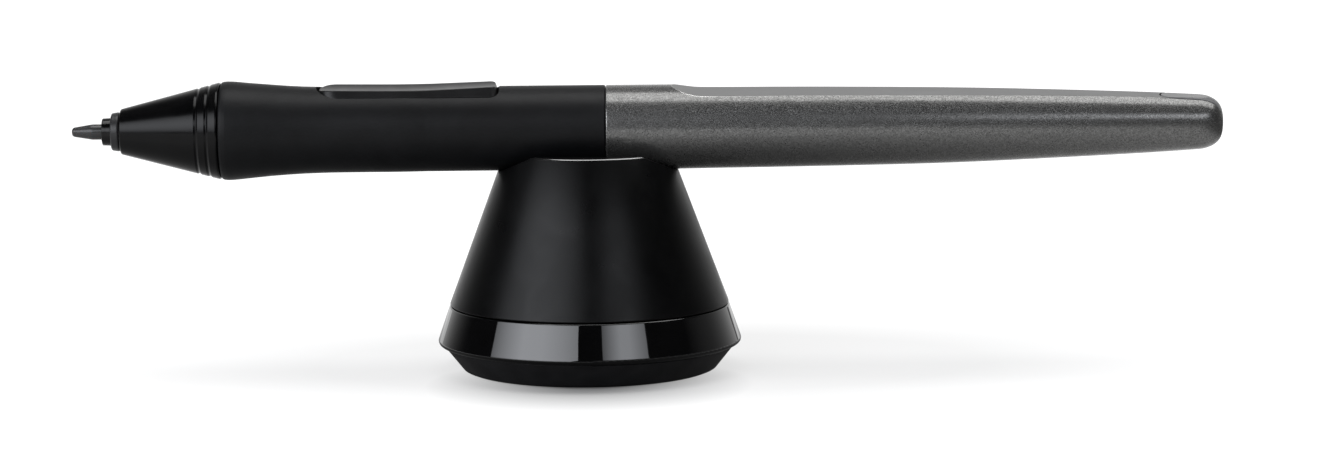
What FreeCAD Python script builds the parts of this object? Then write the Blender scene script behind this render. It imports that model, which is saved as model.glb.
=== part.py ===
"""Battery-free tablet pen lying in the saddle of a conical pen stand.

Lengths are millimetres and angles are degrees. The stand's axis is Z, with the floor at
Z = 0. The pen lies along X, its tip towards -X, and its top is rolled a little towards -Y.
Pen pieces are drawn in the pen's own frame: tip at the origin, axis along +X, top at +Z.
"""
import FreeCAD, Part
import math
import os

Vector = FreeCAD.Vector
Rotation = FreeCAD.Rotation
UP = Vector(0, 0, 1)
ALONG = Vector(1, 0, 0)
ACROSS = Vector(0, 1, 0)
ORIGIN = Vector(0, 0, 0)

# Clearances between mating pieces
SLIDE_GAP = 0.03          # a piece that slides or turns in another
SEAT_GAP = 0.02           # a piece that sits in a moulded recess
LOOSE_GAP = 0.1           # a piece that drops in freely
SEAM_GAP = 0.12           # a visible joint line between two mouldings
FINE_GAP = 0.05           # a close joint line along the pen
BUTTON_GAP = 0.25         # the dark line round the rocker
COVER_GAP = 0.15          # push-on cover over its spigot, taken up by the rubber ring

# Foot of the stand, where the cone meets the ring
FOOT_RADIUS = 19.88       # outer radius at the foot of the cone
RING_TOP = 9.4
COVER_FOOT = RING_TOP + SEAM_GAP
COLLAR_TOP = COVER_FOOT + 4.28

# Gloss ring
RING_BORE = FOOT_RADIUS - 2.58
RING_FOOT = RING_TOP - 5.55
RING_TAPER = 0.34         # growth in radius for each millimetre down the ring
RING_ROUND = 0.55         # rounding of the ring's lower corner, its widest place

# Well of the pen socket
SOCKET_WALL = 1.2
SOCKET_FLOOR = 8.5
SOCKET_THROAT = 3.2
THROAT_TOP = SOCKET_FLOOR + 4.8

# Base cup
CUP_SHOULDER = FOOT_RADIUS + 0.92
CUP_FOOT = FOOT_RADIUS - 1.83
LOWER_SPIGOT = RING_BORE - LOOSE_GAP
SPIGOT_RADIUS = LOWER_SPIGOT - 1.6
SPIGOT_TOP = COVER_FOOT + 3.78
CUP_BORE = SPIGOT_RADIUS - 1.5
CUP_FLOOR = 2.2
PAD_RADIUS = CUP_FOOT - 1.55
PAD_THICK = 0.8
CHIMNEY_TOP = SOCKET_FLOOR - SOCKET_WALL - 0.5
NIB_POCKET = 2.0
CHIMNEY_RADIUS = NIB_POCKET + 1.2
EXTRACTOR_RADIUS = 4.5
EXTRACTOR_THICK = 0.8
EXTRACTOR_FOOT = PAD_THICK + 0.05
PAD_HOLE = EXTRACTOR_RADIUS + 0.7
O_RING_SECTION = 0.4      # radius of the round rubber section
O_RING_HEIGHT = COVER_FOOT + 1.88
GROOVE_RADIUS = SPIGOT_RADIUS + COVER_GAP - 0.05 - 2 * O_RING_SECTION - SEAT_GAP
WEIGHT_TOP = CUP_FLOOR + 2.5

# Rack, its screws and the spare nibs
RACK_TOP = WEIGHT_TOP + 4.3
RACK_BORE = SOCKET_THROAT + SOCKET_WALL + 0.6
SCREW_RADIUS = 0.9
SCREW_HEAD = 1.7
SCREW_SEAT = WEIGHT_TOP + 1.8
BOSS_RADIUS = 2.1
BOSS_CIRCLE = RACK_BORE + SCREW_HEAD + 0.9
BOSS_COUNT = 3
NIB_CIRCLE = CUP_BORE - 3.1
NIB_COUNT = 9
NIB_LENGTH = 18.0
NIB_HEAD = 1.1
NIB_SHANK = 0.8
NIB_SHOULDER = 5.2
NIB_SEAT = WEIGHT_TOP + 0.35
NIB_HEADROOM = 2.8        # space between the spare nibs and the deck above them

# Cone cover, with the saddle that the pen lies in moulded across its top
CEILING_HEIGHT = NIB_SEAT + NIB_LENGTH + NIB_HEADROOM
SADDLE_FLOOR = CEILING_HEIGHT + 2.7
SADDLE_RADIUS = 15.2
LIP_HEIGHT = SADDLE_FLOOR + 2.8
LIP_RADIUS = 11.75
LIP_ROUND = 0.4           # rounding of the lip, where the light catches it
SADDLE_EDGE = 0.2         # rounding along the edge of the saddle
CONE_SLOPE = (FOOT_RADIUS - LIP_RADIUS) / (LIP_HEIGHT - COVER_FOOT)
COVER_WALL = 1.8

# Mouth of the pen socket, staked under the deck
SOCKET_NECK = LIP_RADIUS - 3.15
MOUTH_RADIUS = SOCKET_NECK - 0.95
MOUTH_HEIGHT = SADDLE_FLOOR + 0.5
FLANGE_THICK = 1.0
STAKE_RADIUS = 0.5
STAKE_COUNT = 3

# Where the pen lies
PEN_RADIUS = 6.0
PEN_LENGTH = 163.0
PEN_TIP_X = -73.07
PEN_ROLL = 6.5
PEN_HEIGHT = SADDLE_FLOOR + PEN_RADIUS + SLIDE_GAP

# Nose of the pen, stations measured from the tip
GUIDE_FRONT = 4.35
GUIDE_RADIUS = 1.98
BEAD_FRONT = GUIDE_FRONT + 1.3
NOSE_FRONT = BEAD_FRONT + 1.3
NOSE_FRONT_RADIUS = 3.2
NOSE_BACK = 21.2
NOSE_BACK_RADIUS = PEN_RADIUS + 0.93
SKIRT_RADIUS = GUIDE_RADIUS + 0.52
SKIRT_BACK = NOSE_FRONT + 1.2
GUIDE_BACK = SKIRT_BACK + 1.0
CARRIER_FRONT = NIB_LENGTH - 2.1
CARRIER_BACK = NIB_LENGTH + 3.0
FERRITE_FRONT = GUIDE_BACK + 0.05
FERRITE_BACK = CARRIER_FRONT - 0.3
FERRITE_RADIUS = 1.85
COIL_RADIUS = 2.4
CARRIER_RADIUS = 1.6
PRESS_TRAVEL = 0.5
SENSOR_FRONT = CARRIER_BACK + PRESS_TRAVEL + LOOSE_GAP
SENSOR_BACK = SENSOR_FRONT + 4.8

# Rigid tube inside the grip
TUBE_RADIUS = PEN_RADIUS - 0.8
TUBE_BORE = TUBE_RADIUS - 1.0
TUBE_NOSE_RADIUS = PEN_RADIUS - 0.15
NOSE_SPIGOT = TUBE_BORE + 0.37
NOSE_SPIGOT_BACK = SENSOR_BACK - 0.5
TAIL_SPIGOT = TUBE_RADIUS - 0.3
GRIP_FRONT = NOSE_BACK + FINE_GAP
GRIP_BACK = 75.64
BARREL_FRONT = GRIP_BACK + FINE_GAP
TAIL_SPIGOT_BACK = GRIP_BACK + 6.36

# Rear barrel
FACET_FRONT = BARREL_FRONT + 9.3
FACET_EDGE = 0.18         # rounding along the edge of the facet
ROUND_END = 3.8           # length of the rounded tail
TONGUE_FRONT = PEN_LENGTH - 9.0
TONGUE_WIDTH = 3.6
TONGUE_GROOVE = 0.25      # width of the groove round the tail inlay

# Rocker button
BUTTON_FRONT = 35.0
BUTTON_BACK = BUTTON_FRONT + 25.4
BUTTON_WIDTH = 5.8
BUTTON_CROWN = 4.5        # width across the top of the rocker, between its sloping flanks
BUTTON_CORNER = 1.1       # rounding of its rear corners in plan
BUTTON_UNDERSIDE = TUBE_BORE + 0.15
DISH_RADIUS = 13.5        # shallow trough along the top of the rocker
PIVOT_X = (BUTTON_FRONT + BUTTON_BACK) / 2
PIVOT_Z = BUTTON_UNDERSIDE - 0.95
PIN_RADIUS = 0.4
ROCKER_TILT = 1.6
FRONT_SWITCH_X = BUTTON_FRONT + 6.0
REAR_SWITCH_X = BUTTON_BACK - 6.4
EAR_OUTSIDE = TUBE_BORE - 1.85
EAR_INSIDE = EAR_OUTSIDE - 0.75
SWELL_BACK = BUTTON_FRONT - 2.0

# Electronics
CRADLE_RADIUS = TUBE_BORE - LOOSE_GAP
CRADLE_BORE = CRADLE_RADIUS - 1.0
CRADLE_FRONT = SENSOR_BACK + 0.1
CRADLE_BACK = GRIP_BACK - 1.24
SENSOR_RADIUS = CRADLE_RADIUS - 0.9
SENSOR_CUP = SENSOR_RADIUS + 0.6
BOARD_FRONT = SENSOR_BACK + 1.8
BOARD_BACK = CRADLE_BACK - 1.2
BOARD_TOP = 1.0
BOARD_FOOT = BOARD_TOP - 0.8
BOARD_HALF = CRADLE_RADIUS - 0.6
SWITCH_TOP = BOARD_TOP + 1.5

# Long curves: share of the way along, share of the pen's radius
TAIL_TAPER = [
    (0.0, 1.0), (0.07, 0.99), (0.19, 0.978), (0.31, 0.962), (0.44, 0.94),
    (0.56, 0.905), (0.68, 0.85), (0.81, 0.782), (0.93, 0.71), (1.0, 0.658),
]
TAIL_ROUND = [
    (0.0, 0.658), (0.32, 0.635), (0.58, 0.58), (0.79, 0.493), (0.93, 0.375), (0.99, 0.25),
    (1.0, 0.133),
]
FACET_RAMP = [
    (-0.16, 1.067), (0.0, 1.0), (0.14, 0.958), (0.43, 0.89), (0.67, 0.852), (1.0, 0.838),
]
FACET_FALL = [
    (0.186, 0.832), (0.341, 0.815), (0.496, 0.788), (0.651, 0.75), (0.78, 0.705),
    (0.884, 0.66), (1.02, 0.572),
]
RAMP_LENGTH = 4.9

# Grip swelling: distance behind the grip's front, growth over the pen's radius
GRIP_NOSE = [(0.0, 0.5), (0.13, 0.83), (0.48, 0.96), (0.98, 1.0)]
GRIP_SWELL = [
    (0.98, 1.0), (2.08, 0.95), (3.28, 0.83), (6.48, 0.55), (9.88, 0.28), (13.28, 0.13),
    (20.08, 0.06), (29.08, 0.01),
]

# Crest of the rocker: share of its length, height over the pen's radius
ROCKER_CREST = [
    (-0.04, -0.2), (0.0, -0.02), (0.03, 0.1), (0.07, 0.14), (0.16, 0.12), (0.31, 0.07),
    (0.51, 0.04), (0.67, 0.13), (0.79, 0.26), (0.91, 0.39), (0.97, 0.46), (1.0, 0.49),
    (1.04, 0.53),
]


def rounded_wire(corners, lift):
    """Closed wire through (a, b) or (a, b, radius) corners, placed in space by lift."""
    count = len(corners)
    spans = []
    for index in range(count):
        here = corners[index]
        radius = here[2] if len(here) > 2 else 0.0
        point = Vector(here[0], here[1], 0)
        if radius <= 0:
            spans.append((point, None, point))
            continue
        before = corners[index - 1]
        after = corners[(index + 1) % count]
        back = (Vector(before[0], before[1], 0) - point).normalize()
        ahead = (Vector(after[0], after[1], 0) - point).normalize()
        half = back.getAngle(ahead) / 2
        reach = radius / math.tan(half)
        middle = (back + ahead).normalize()
        centre = point + middle * (radius / math.sin(half))
        spans.append((point + back * reach, centre - middle * radius, point + ahead * reach))
    edges = []
    for index in range(count):
        start, crown, end = spans[index]
        following = spans[(index + 1) % count][0]
        if crown is not None:
            edges.append(Part.Arc(lift(start), lift(crown), lift(end)).toShape())
        if end.distanceToPoint(following) > 1e-6:
            edges.append(Part.makeLine(lift(end), lift(following)))
    return Part.Wire(edges)


def turned_about_z(corners):
    """Solid of revolution about Z from (radius, height) corners."""
    wire = rounded_wire(corners, lambda p: Vector(p.x, 0, p.y))
    return Part.Face(wire).revolve(ORIGIN, UP, 360)


def turned_about_x(corners):
    """Solid of revolution about X from (station, radius) corners."""
    wire = rounded_wire(corners, lambda p: Vector(p.x, 0, p.y))
    return Part.Face(wire).revolve(ORIGIN, ALONG, 360)


def curve_through(points):
    """Smooth edge in the XZ plane through (x, z) points."""
    curve = Part.BSplineCurve()
    curve.interpolate([Vector(x, 0, z) for x, z in points])
    return curve.toShape()


def turned_curves(curves, closing):
    """Solid turned about X: smooth curves end to end, closed by straight (x, r) corners."""
    edges = [curve_through(points) for points in curves]
    chain = [curves[-1][-1]] + closing + [curves[0][0]]
    for start, end in zip(chain, chain[1:]):
        edges.append(Part.makeLine(Vector(start[0], 0, start[1]), Vector(end[0], 0, end[1])))
    return Part.Face(Part.Wire(edges)).revolve(ORIGIN, ALONG, 360)


def stretched(profile, front, back, size):
    """Profile of shares turned into lengths: stations from front to back, heights times size."""
    return [(front + along * (back - front), share * size) for along, share in profile]


def box(x_low, x_high, y_low, y_high, z_low, z_high):
    """Block between the given limits."""
    corner = Vector(x_low, y_low, z_low)
    return Part.makeBox(x_high - x_low, y_high - y_low, z_high - z_low, corner)


def rod_z(radius, x, y, low, high):
    """Upright cylinder between two heights."""
    return Part.makeCylinder(radius, high - low, Vector(x, y, low), UP)


def rod_x(radius, start, end):
    """Cylinder on the X axis between two stations."""
    return Part.makeCylinder(radius, end - start, Vector(start, 0, 0), ALONG)


def ring_places(count, radius, first):
    """Points spread evenly round Z, the first at the given angle."""
    places = []
    for index in range(count):
        angle = math.radians(first + 360.0 * index / count)
        places.append(Vector(radius * math.cos(angle), radius * math.sin(angle), 0))
    return places


def pill(front, back, width, low, high):
    """Upright prism with a pill-shaped plan along X."""
    half = width / 2
    body = box(front + half, back - half, -half, half, low, high)
    ends = [rod_z(half, front + half, 0, low, high), rod_z(half, back - half, 0, low, high)]
    return body.multiFuse(ends).removeSplitter()


def cone_radius(height):
    """Outer radius of the cone cover at a height."""
    return FOOT_RADIUS - (height - COVER_FOOT) * CONE_SLOPE


def saddle_cutter(radius):
    """Long cylinder along X whose underside is the saddle."""
    reach = 2 * FOOT_RADIUS
    centre = Vector(-reach, 0, SADDLE_FLOOR + SADDLE_RADIUS)
    return Part.makeCylinder(radius, 2 * reach, centre, ALONG)


def on_pen(shape):
    """The shape moved from the pen's own frame to where the pen lies."""
    placed = shape.copy()
    lying = FreeCAD.Placement(Vector(PEN_TIP_X, 0, PEN_HEIGHT), Rotation(ALONG, PEN_ROLL))
    placed.Placement = lying.multiply(placed.Placement)
    return placed


# Stand

def flange_radius():
    """Edge of the socket's flange, just inside the cone's wall."""
    return cone_radius(CEILING_HEIGHT) - COVER_WALL - 0.55


def stake_places():
    """Where the stakes under the deck stand, midway across the flange."""
    circle = (SOCKET_NECK + flange_radius()) / 2 + 0.25
    return ring_places(STAKE_COUNT, circle, 90)


def saddle_edges(shell):
    """Edges where the saddle breaks out through the cone's outside and its lip."""
    found = []
    for edge in shell.Edges:
        middle = edge.valueAt((edge.FirstParameter + edge.LastParameter) / 2)
        from_axis = math.hypot(middle.y, middle.z - SADDLE_FLOOR - SADDLE_RADIUS)
        outside = math.hypot(middle.x, middle.y) > SOCKET_NECK + 0.2
        if abs(from_axis - SADDLE_RADIUS) < 0.01 and outside:
            found.append(edge)
    return found


def make_cone_cover():
    """Matt black cone: a push-on cover with the saddle moulded across its top."""
    collar_bore = SPIGOT_RADIUS + COVER_GAP
    deck_bore = SOCKET_NECK + SEAT_GAP + SLIDE_GAP
    shell = turned_about_z([
        (deck_bore, LIP_HEIGHT),
        (LIP_RADIUS, LIP_HEIGHT, LIP_ROUND),
        (FOOT_RADIUS, COVER_FOOT, 0.15),
        (collar_bore + 0.4, COVER_FOOT),
        (collar_bore, COVER_FOOT + 0.4),
        (collar_bore, COLLAR_TOP),
        (cone_radius(COLLAR_TOP) - COVER_WALL, COLLAR_TOP),
        (cone_radius(CEILING_HEIGHT) - COVER_WALL, CEILING_HEIGHT),
        (deck_bore, CEILING_HEIGHT),
    ])
    shell = shell.cut(saddle_cutter(SADDLE_RADIUS))
    shell = shell.makeFillet(SADDLE_EDGE, saddle_edges(shell))
    flange_foot = CEILING_HEIGHT - SLIDE_GAP - FLANGE_THICK
    head = STAKE_RADIUS + 0.35
    stakes = []
    for spot in stake_places():
        stakes.append(rod_z(STAKE_RADIUS, spot.x, spot.y, flange_foot - 0.3, CEILING_HEIGHT + 0.5))
        stakes.append(rod_z(head, spot.x, spot.y, flange_foot - 0.55, flange_foot - SEAT_GAP))
    return shell.multiFuse(stakes).removeSplitter()


def make_pen_socket():
    """Funnel in the middle of the cover, staked to the underside of the deck."""
    flange_top = CEILING_HEIGHT - SLIDE_GAP
    flange_foot = flange_top - FLANGE_THICK
    slope = (MOUTH_RADIUS - SOCKET_THROAT) / (MOUTH_HEIGHT - THROAT_TOP)
    outside = SOCKET_THROAT + SOCKET_WALL
    funnel = turned_about_z([
        (0, SOCKET_FLOOR - SOCKET_WALL),
        (outside, SOCKET_FLOOR - SOCKET_WALL, 0.8),
        (outside, THROAT_TOP),
        (outside + slope * (flange_foot - THROAT_TOP), flange_foot),
        (flange_radius(), flange_foot, 0.2),
        (flange_radius(), flange_top, 0.2),
        (SOCKET_NECK, flange_top),
        (SOCKET_NECK, LIP_HEIGHT + 1),
        (MOUTH_RADIUS + 0.25, LIP_HEIGHT + 1),
        (MOUTH_RADIUS, MOUTH_HEIGHT),
        (SOCKET_THROAT, THROAT_TOP),
        (SOCKET_THROAT, SOCKET_FLOOR, 0.6),
        (0, SOCKET_FLOOR),
    ])
    funnel = funnel.cut(saddle_cutter(SADDLE_RADIUS + LOOSE_GAP))
    hole = STAKE_RADIUS + 0.05
    holes = [rod_z(hole, s.x, s.y, flange_foot - 1, flange_top + 1) for s in stake_places()]
    return funnel.cut(holes)


def make_gloss_ring():
    """Polished black band that carries on the cone's taper and rounds under at its foot."""
    foot_radius = FOOT_RADIUS + RING_TAPER * (RING_TOP - RING_FOOT)
    return turned_about_z([
        (RING_BORE, RING_FOOT),
        (foot_radius, RING_FOOT, RING_ROUND),
        (FOOT_RADIUS, RING_TOP, 0.25),
        (RING_BORE, RING_TOP),
    ])


def make_base_cup():
    """Matt base moulding: foot, spigot for the cover, screw bosses and nib-puller pocket."""
    shoulder = RING_FOOT - SEAT_GAP
    stop = COVER_FOOT - SLIDE_GAP
    recess = EXTRACTOR_RADIUS + SEAT_GAP
    recess_top = EXTRACTOR_FOOT + EXTRACTOR_THICK
    groove = O_RING_SECTION + 0.05
    cup = turned_about_z([
        (0, CHIMNEY_TOP - 0.9),
        (NIB_POCKET, CHIMNEY_TOP - 0.9, 0.6),
        (NIB_POCKET, recess_top),
        (recess, recess_top),
        (recess, PAD_THICK),
        (PAD_RADIUS + 0.05, PAD_THICK),
        (PAD_RADIUS + 0.05, 0.15),
        (CUP_FOOT - 0.65, 0.15, 0.2),
        (CUP_FOOT, 0.4, 0.4),
        (CUP_SHOULDER, shoulder, 0.15),
        (LOWER_SPIGOT, shoulder),
        (LOWER_SPIGOT, stop),
        (SPIGOT_RADIUS, stop),
        (SPIGOT_RADIUS, O_RING_HEIGHT - groove),
        (GROOVE_RADIUS, O_RING_HEIGHT - groove),
        (GROOVE_RADIUS, O_RING_HEIGHT + groove),
        (SPIGOT_RADIUS, O_RING_HEIGHT + groove),
        (SPIGOT_RADIUS, SPIGOT_TOP - 0.5),
        (SPIGOT_RADIUS - 0.4, SPIGOT_TOP),
        (CUP_BORE, SPIGOT_TOP),
        (CUP_BORE, CUP_FLOOR),
        (CHIMNEY_RADIUS, CUP_FLOOR),
        (CHIMNEY_RADIUS, CHIMNEY_TOP, 0.3),
        (0, CHIMNEY_TOP),
    ])
    spots = ring_places(BOSS_COUNT, BOSS_CIRCLE, 0)
    bosses = [rod_z(BOSS_RADIUS, s.x, s.y, CUP_FLOOR - 0.5, WEIGHT_TOP) for s in spots]
    pilot = SCREW_RADIUS + SEAT_GAP
    pilots = [rod_z(pilot, s.x, s.y, CUP_FLOOR + 0.2, WEIGHT_TOP + 1) for s in spots]
    return cup.multiFuse(bosses).cut(pilots).removeSplitter()


def make_friction_ring():
    """Rubber ring in the spigot's groove that grips the cover."""
    circle = GROOVE_RADIUS + SEAT_GAP + O_RING_SECTION
    return Part.makeTorus(circle, O_RING_SECTION, Vector(0, 0, O_RING_HEIGHT), UP)


def make_weight_plate():
    """Steel disc that keeps the stand from tipping."""
    inside = CHIMNEY_RADIUS + 0.2
    outside = CUP_BORE - LOOSE_GAP
    plate = turned_about_z([
        (inside, CUP_FLOOR),
        (outside, CUP_FLOOR, 0.3),
        (outside, WEIGHT_TOP, 0.3),
        (inside, WEIGHT_TOP),
    ])
    spots = ring_places(BOSS_COUNT, BOSS_CIRCLE, 0)
    return plate.cut([rod_z(BOSS_RADIUS + 0.15, s.x, s.y, 0, RACK_TOP) for s in spots])


def nib_places():
    """Where the spare nibs stand, the bosses midway between two of them."""
    return ring_places(NIB_COUNT, NIB_CIRCLE, 180 / NIB_COUNT)


def make_nib_rack():
    """Ring with a hole for each spare nib, screwed down over the steel disc."""
    foot = WEIGHT_TOP + SEAT_GAP
    outside = CUP_BORE - 2 * LOOSE_GAP
    rack = turned_about_z([
        (RACK_BORE, foot),
        (outside, foot),
        (outside, RACK_TOP, 0.5),
        (RACK_BORE, RACK_TOP, 0.3),
    ])
    holes = []
    for spot in nib_places():
        holes.append(rod_z(NIB_SHANK + 0.06, spot.x, spot.y, NIB_SEAT, RACK_TOP + 1))
        rim = Vector(spot.x, spot.y, RACK_TOP - 0.39)
        holes.append(Part.makeCone(NIB_SHANK, NIB_SHANK + 0.4, 0.4, rim, UP))
    for spot in ring_places(BOSS_COUNT, BOSS_CIRCLE, 0):
        holes.append(rod_z(SCREW_RADIUS + 0.2, spot.x, spot.y, 0, RACK_TOP + 1))
        holes.append(rod_z(SCREW_HEAD + 0.3, spot.x, spot.y, SCREW_SEAT, RACK_TOP + 1))
    return rack.cut(holes)


def make_rack_screws():
    """Three cross-head screws that hold the rack and the steel disc."""
    seat = SCREW_SEAT + SEAT_GAP
    top = seat + 1.08
    tip = CUP_FLOOR + 0.4
    screws = []
    for spot in ring_places(BOSS_COUNT, BOSS_CIRCLE, 0):
        screw = turned_about_z([
            (0, tip),
            (SCREW_RADIUS - 0.4, tip),
            (SCREW_RADIUS, tip + 0.5),
            (SCREW_RADIUS, seat),
            (SCREW_HEAD, seat),
            (SCREW_HEAD, top, 0.5),
            (0, top),
        ])
        slot = box(-1.0, 1.0, -0.2, 0.2, top - 0.6, top + 1)
        cross = slot.fuse(box(-0.2, 0.2, -1.0, 1.0, top - 0.6, top + 1))
        screw = screw.cut(cross)
        screw.translate(spot)
        screws.append(screw)
    return Part.makeCompound(screws)


def make_nib_extractor():
    """Steel plate under the base with a keyhole that grips a worn nib."""
    top = EXTRACTOR_FOOT + EXTRACTOR_THICK
    plate = turned_about_z([
        (0, EXTRACTOR_FOOT),
        (EXTRACTOR_RADIUS, EXTRACTOR_FOOT, 0.1),
        (EXTRACTOR_RADIUS, top, 0.1),
        (0, top),
    ])
    keyhole = rod_z(NIB_HEAD + 0.2, 0, 0, 0, top + 1)
    slot = pill(0, EXTRACTOR_RADIUS - 1.3, 0.9, 0, top + 1)
    return plate.cut([keyhole, slot])


def make_base_pad():
    """Rubber foot pad with an opening for the nib puller."""
    return turned_about_z([
        (PAD_HOLE, 0, 0.15),
        (PAD_RADIUS, 0, 0.3),
        (PAD_RADIUS, PAD_THICK),
        (PAD_HOLE, PAD_THICK),
    ])


def make_nib():
    """One plastic nib lying along X with its rounded tip at the origin."""
    return turned_about_x([
        (0, 0),
        (0, NIB_HEAD - 0.48, 0.5),
        (2.9, NIB_HEAD, 2.0),
        (NIB_SHOULDER, NIB_HEAD, 0.1),
        (NIB_SHOULDER, NIB_SHANK),
        (NIB_LENGTH, NIB_SHANK, 0.25),
        (NIB_LENGTH, 0),
    ])


def make_spare_nibs():
    """Spare nibs standing in the rack, tips up."""
    nibs = []
    for spot in nib_places():
        nib = make_nib()
        top = Vector(spot.x, spot.y, NIB_SEAT + NIB_LENGTH)
        nib.Placement = FreeCAD.Placement(top, Rotation(ACROSS, 90))
        nibs.append(nib)
    return Part.makeCompound(nibs)


# Pen nose

def make_nib_guide():
    """Collar that the nib slides through, with a flange held behind the bead."""
    bore = NIB_HEAD + 0.15
    rear_bore = NIB_SHANK + 0.2
    step = NIB_SHOULDER + 1.0
    flange = SKIRT_BACK + 0.05
    return turned_about_x([
        (GUIDE_FRONT, bore),
        (GUIDE_FRONT, GUIDE_RADIUS - 0.06, 0.15),
        (BEAD_FRONT, GUIDE_RADIUS),
        (flange, GUIDE_RADIUS),
        (flange, SKIRT_RADIUS - SEAT_GAP),
        (GUIDE_BACK, SKIRT_RADIUS - SEAT_GAP),
        (GUIDE_BACK, rear_bore),
        (step, rear_bore),
        (step, bore),
    ])


def make_nose_ring():
    """Rounded bead between the collar and the nose cone, with a skirt inside the cone."""
    bore = GUIDE_RADIUS + SEAT_GAP
    back = NOSE_FRONT - 0.05
    return turned_about_x([
        (BEAD_FRONT, bore),
        (BEAD_FRONT, SKIRT_RADIUS + 0.14, 0.3),
        (back, SKIRT_RADIUS + 0.32, 0.3),
        (back, SKIRT_RADIUS),
        (SKIRT_BACK, SKIRT_RADIUS),
        (SKIRT_BACK, bore),
    ])


def nose_radius(station):
    """Outer radius of the nose cone at a station."""
    share = (station - NOSE_FRONT) / (NOSE_BACK - NOSE_FRONT)
    return NOSE_FRONT_RADIUS + share * (NOSE_BACK_RADIUS - NOSE_FRONT_RADIUS)


def make_nose_cone():
    """Nose cone with two fine grooves, screwed into the front of the pen's tube."""
    bore = SKIRT_RADIUS + SLIDE_GAP
    cavity = SENSOR_CUP + LOOSE_GAP
    outline = [(NOSE_FRONT, bore), (NOSE_FRONT, NOSE_FRONT_RADIUS, 0.35)]
    for centre in (NOSE_BACK - 3.1, NOSE_BACK - 1.6):
        outline.append((centre - 0.3, nose_radius(centre - 0.3)))
        outline.append((centre, nose_radius(centre) - 0.16, 0.15))
        outline.append((centre + 0.3, nose_radius(centre + 0.3)))
    outline += [
        (NOSE_BACK, NOSE_BACK_RADIUS, 0.3),
        (NOSE_BACK, NOSE_SPIGOT),
        (NOSE_SPIGOT_BACK, NOSE_SPIGOT, 0.3),
        (NOSE_SPIGOT_BACK, cavity),
        (SENSOR_FRONT - 3.6, cavity),
        (GUIDE_BACK + 1.6, bore + 0.27),
        (GUIDE_BACK + 0.02, bore),
    ]
    return turned_about_x(outline)


def make_ferrite_core():
    """Ferrite sleeve that the nib passes through."""
    bore = NIB_SHANK + 0.12
    return turned_about_x([
        (FERRITE_FRONT, bore),
        (FERRITE_FRONT, FERRITE_RADIUS, 0.15),
        (FERRITE_BACK, FERRITE_RADIUS, 0.15),
        (FERRITE_BACK, bore),
    ])


def make_coil_winding():
    """Coil wound round the ferrite sleeve, its end turns a little lower."""
    front = FERRITE_FRONT + 0.75
    back = FERRITE_BACK - 0.6
    bore = FERRITE_RADIUS + SEAT_GAP
    low = COIL_RADIUS - 0.2
    return turned_about_x([
        (front, bore),
        (front, low, 0.1),
        (front + 0.3, low),
        (front + 0.3, COIL_RADIUS, 0.1),
        (back - 0.3, COIL_RADIUS, 0.1),
        (back - 0.3, low),
        (back, low, 0.1),
        (back, bore),
    ])


def make_nib_carrier():
    """Slotted collet that holds the nib's end and pushes on the pressure sensor."""
    socket = NIB_SHANK + SEAT_GAP
    collet = turned_about_x([
        (CARRIER_FRONT, socket),
        (CARRIER_FRONT, CARRIER_RADIUS - 0.3),
        (CARRIER_FRONT + 0.4, CARRIER_RADIUS),
        (CARRIER_BACK, CARRIER_RADIUS, 0.2),
        (CARRIER_BACK, 0),
        (NIB_LENGTH + 0.05, 0),
        (NIB_LENGTH + 0.05, socket),
    ])
    front = CARRIER_FRONT - 1
    back = CARRIER_FRONT + 1.7
    reach = CARRIER_RADIUS + 1
    upright = box(front, back, -0.15, 0.15, -reach, reach)
    level = box(front, back, -reach, reach, -0.15, 0.15)
    return collet.cut([upright, level])


def make_pressure_sensor():
    """Sealed pressure capsule behind the nib, with two flat leads to the board."""
    shoulder = SENSOR_FRONT + 0.4
    capsule = turned_about_x([
        (SENSOR_FRONT, 0),
        (SENSOR_FRONT, 1.2, 0.1),
        (shoulder, 1.2),
        (shoulder, SENSOR_RADIUS, 0.3),
        (SENSOR_BACK, SENSOR_RADIUS, 0.3),
        (SENSOR_BACK, 0),
    ])
    leads = []
    for side in (-1.2, 1.2):
        end = BOARD_FRONT + 1.0
        leads.append(box(SENSOR_BACK - 0.1, end, side - 0.3, side + 0.3, BOARD_TOP, BOARD_TOP + 0.25))
    return capsule.multiFuse(leads)


# Pen body

def button_plan(front, back, half, corner, height):
    """Outline of the rocker in plan at a height: round in front, with small rear corners."""
    corners = [
        (front, -half, half),
        (back, -half, corner),
        (back, half, corner),
        (front, half, half),
    ]
    return rounded_wire(corners, lambda p: Vector(p.x, p.y, height))


def button_window():
    """Opening that the rocker stands in, the same gap wider all round."""
    front = BUTTON_FRONT - BUTTON_GAP
    back = BUTTON_BACK + BUTTON_GAP
    half = BUTTON_WIDTH / 2 + BUTTON_GAP
    outline = button_plan(front, back, half, BUTTON_CORNER + BUTTON_GAP, BOARD_TOP)
    return Part.Face(outline).extrude(Vector(0, 0, 2 * PEN_RADIUS))


def make_front_barrel():
    """Rigid tube under the grip, with a window for the rocker and a spigot at each end."""
    front = NOSE_BACK + SLIDE_GAP
    nose_bore = NOSE_SPIGOT + SLIDE_GAP
    tube = turned_about_x([
        (front, nose_bore),
        (front, TUBE_NOSE_RADIUS),
        (NOSE_SPIGOT_BACK - 0.4, TUBE_NOSE_RADIUS),
        (SWELL_BACK, TUBE_RADIUS),
        (GRIP_BACK, TUBE_RADIUS),
        (GRIP_BACK, TAIL_SPIGOT),
        (TAIL_SPIGOT_BACK, TAIL_SPIGOT, 0.2),
        (TAIL_SPIGOT_BACK, TUBE_BORE),
        (NOSE_SPIGOT_BACK + 0.2, TUBE_BORE),
        (NOSE_SPIGOT_BACK + 0.2, nose_bore),
    ])
    return tube.cut(button_window())


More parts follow.
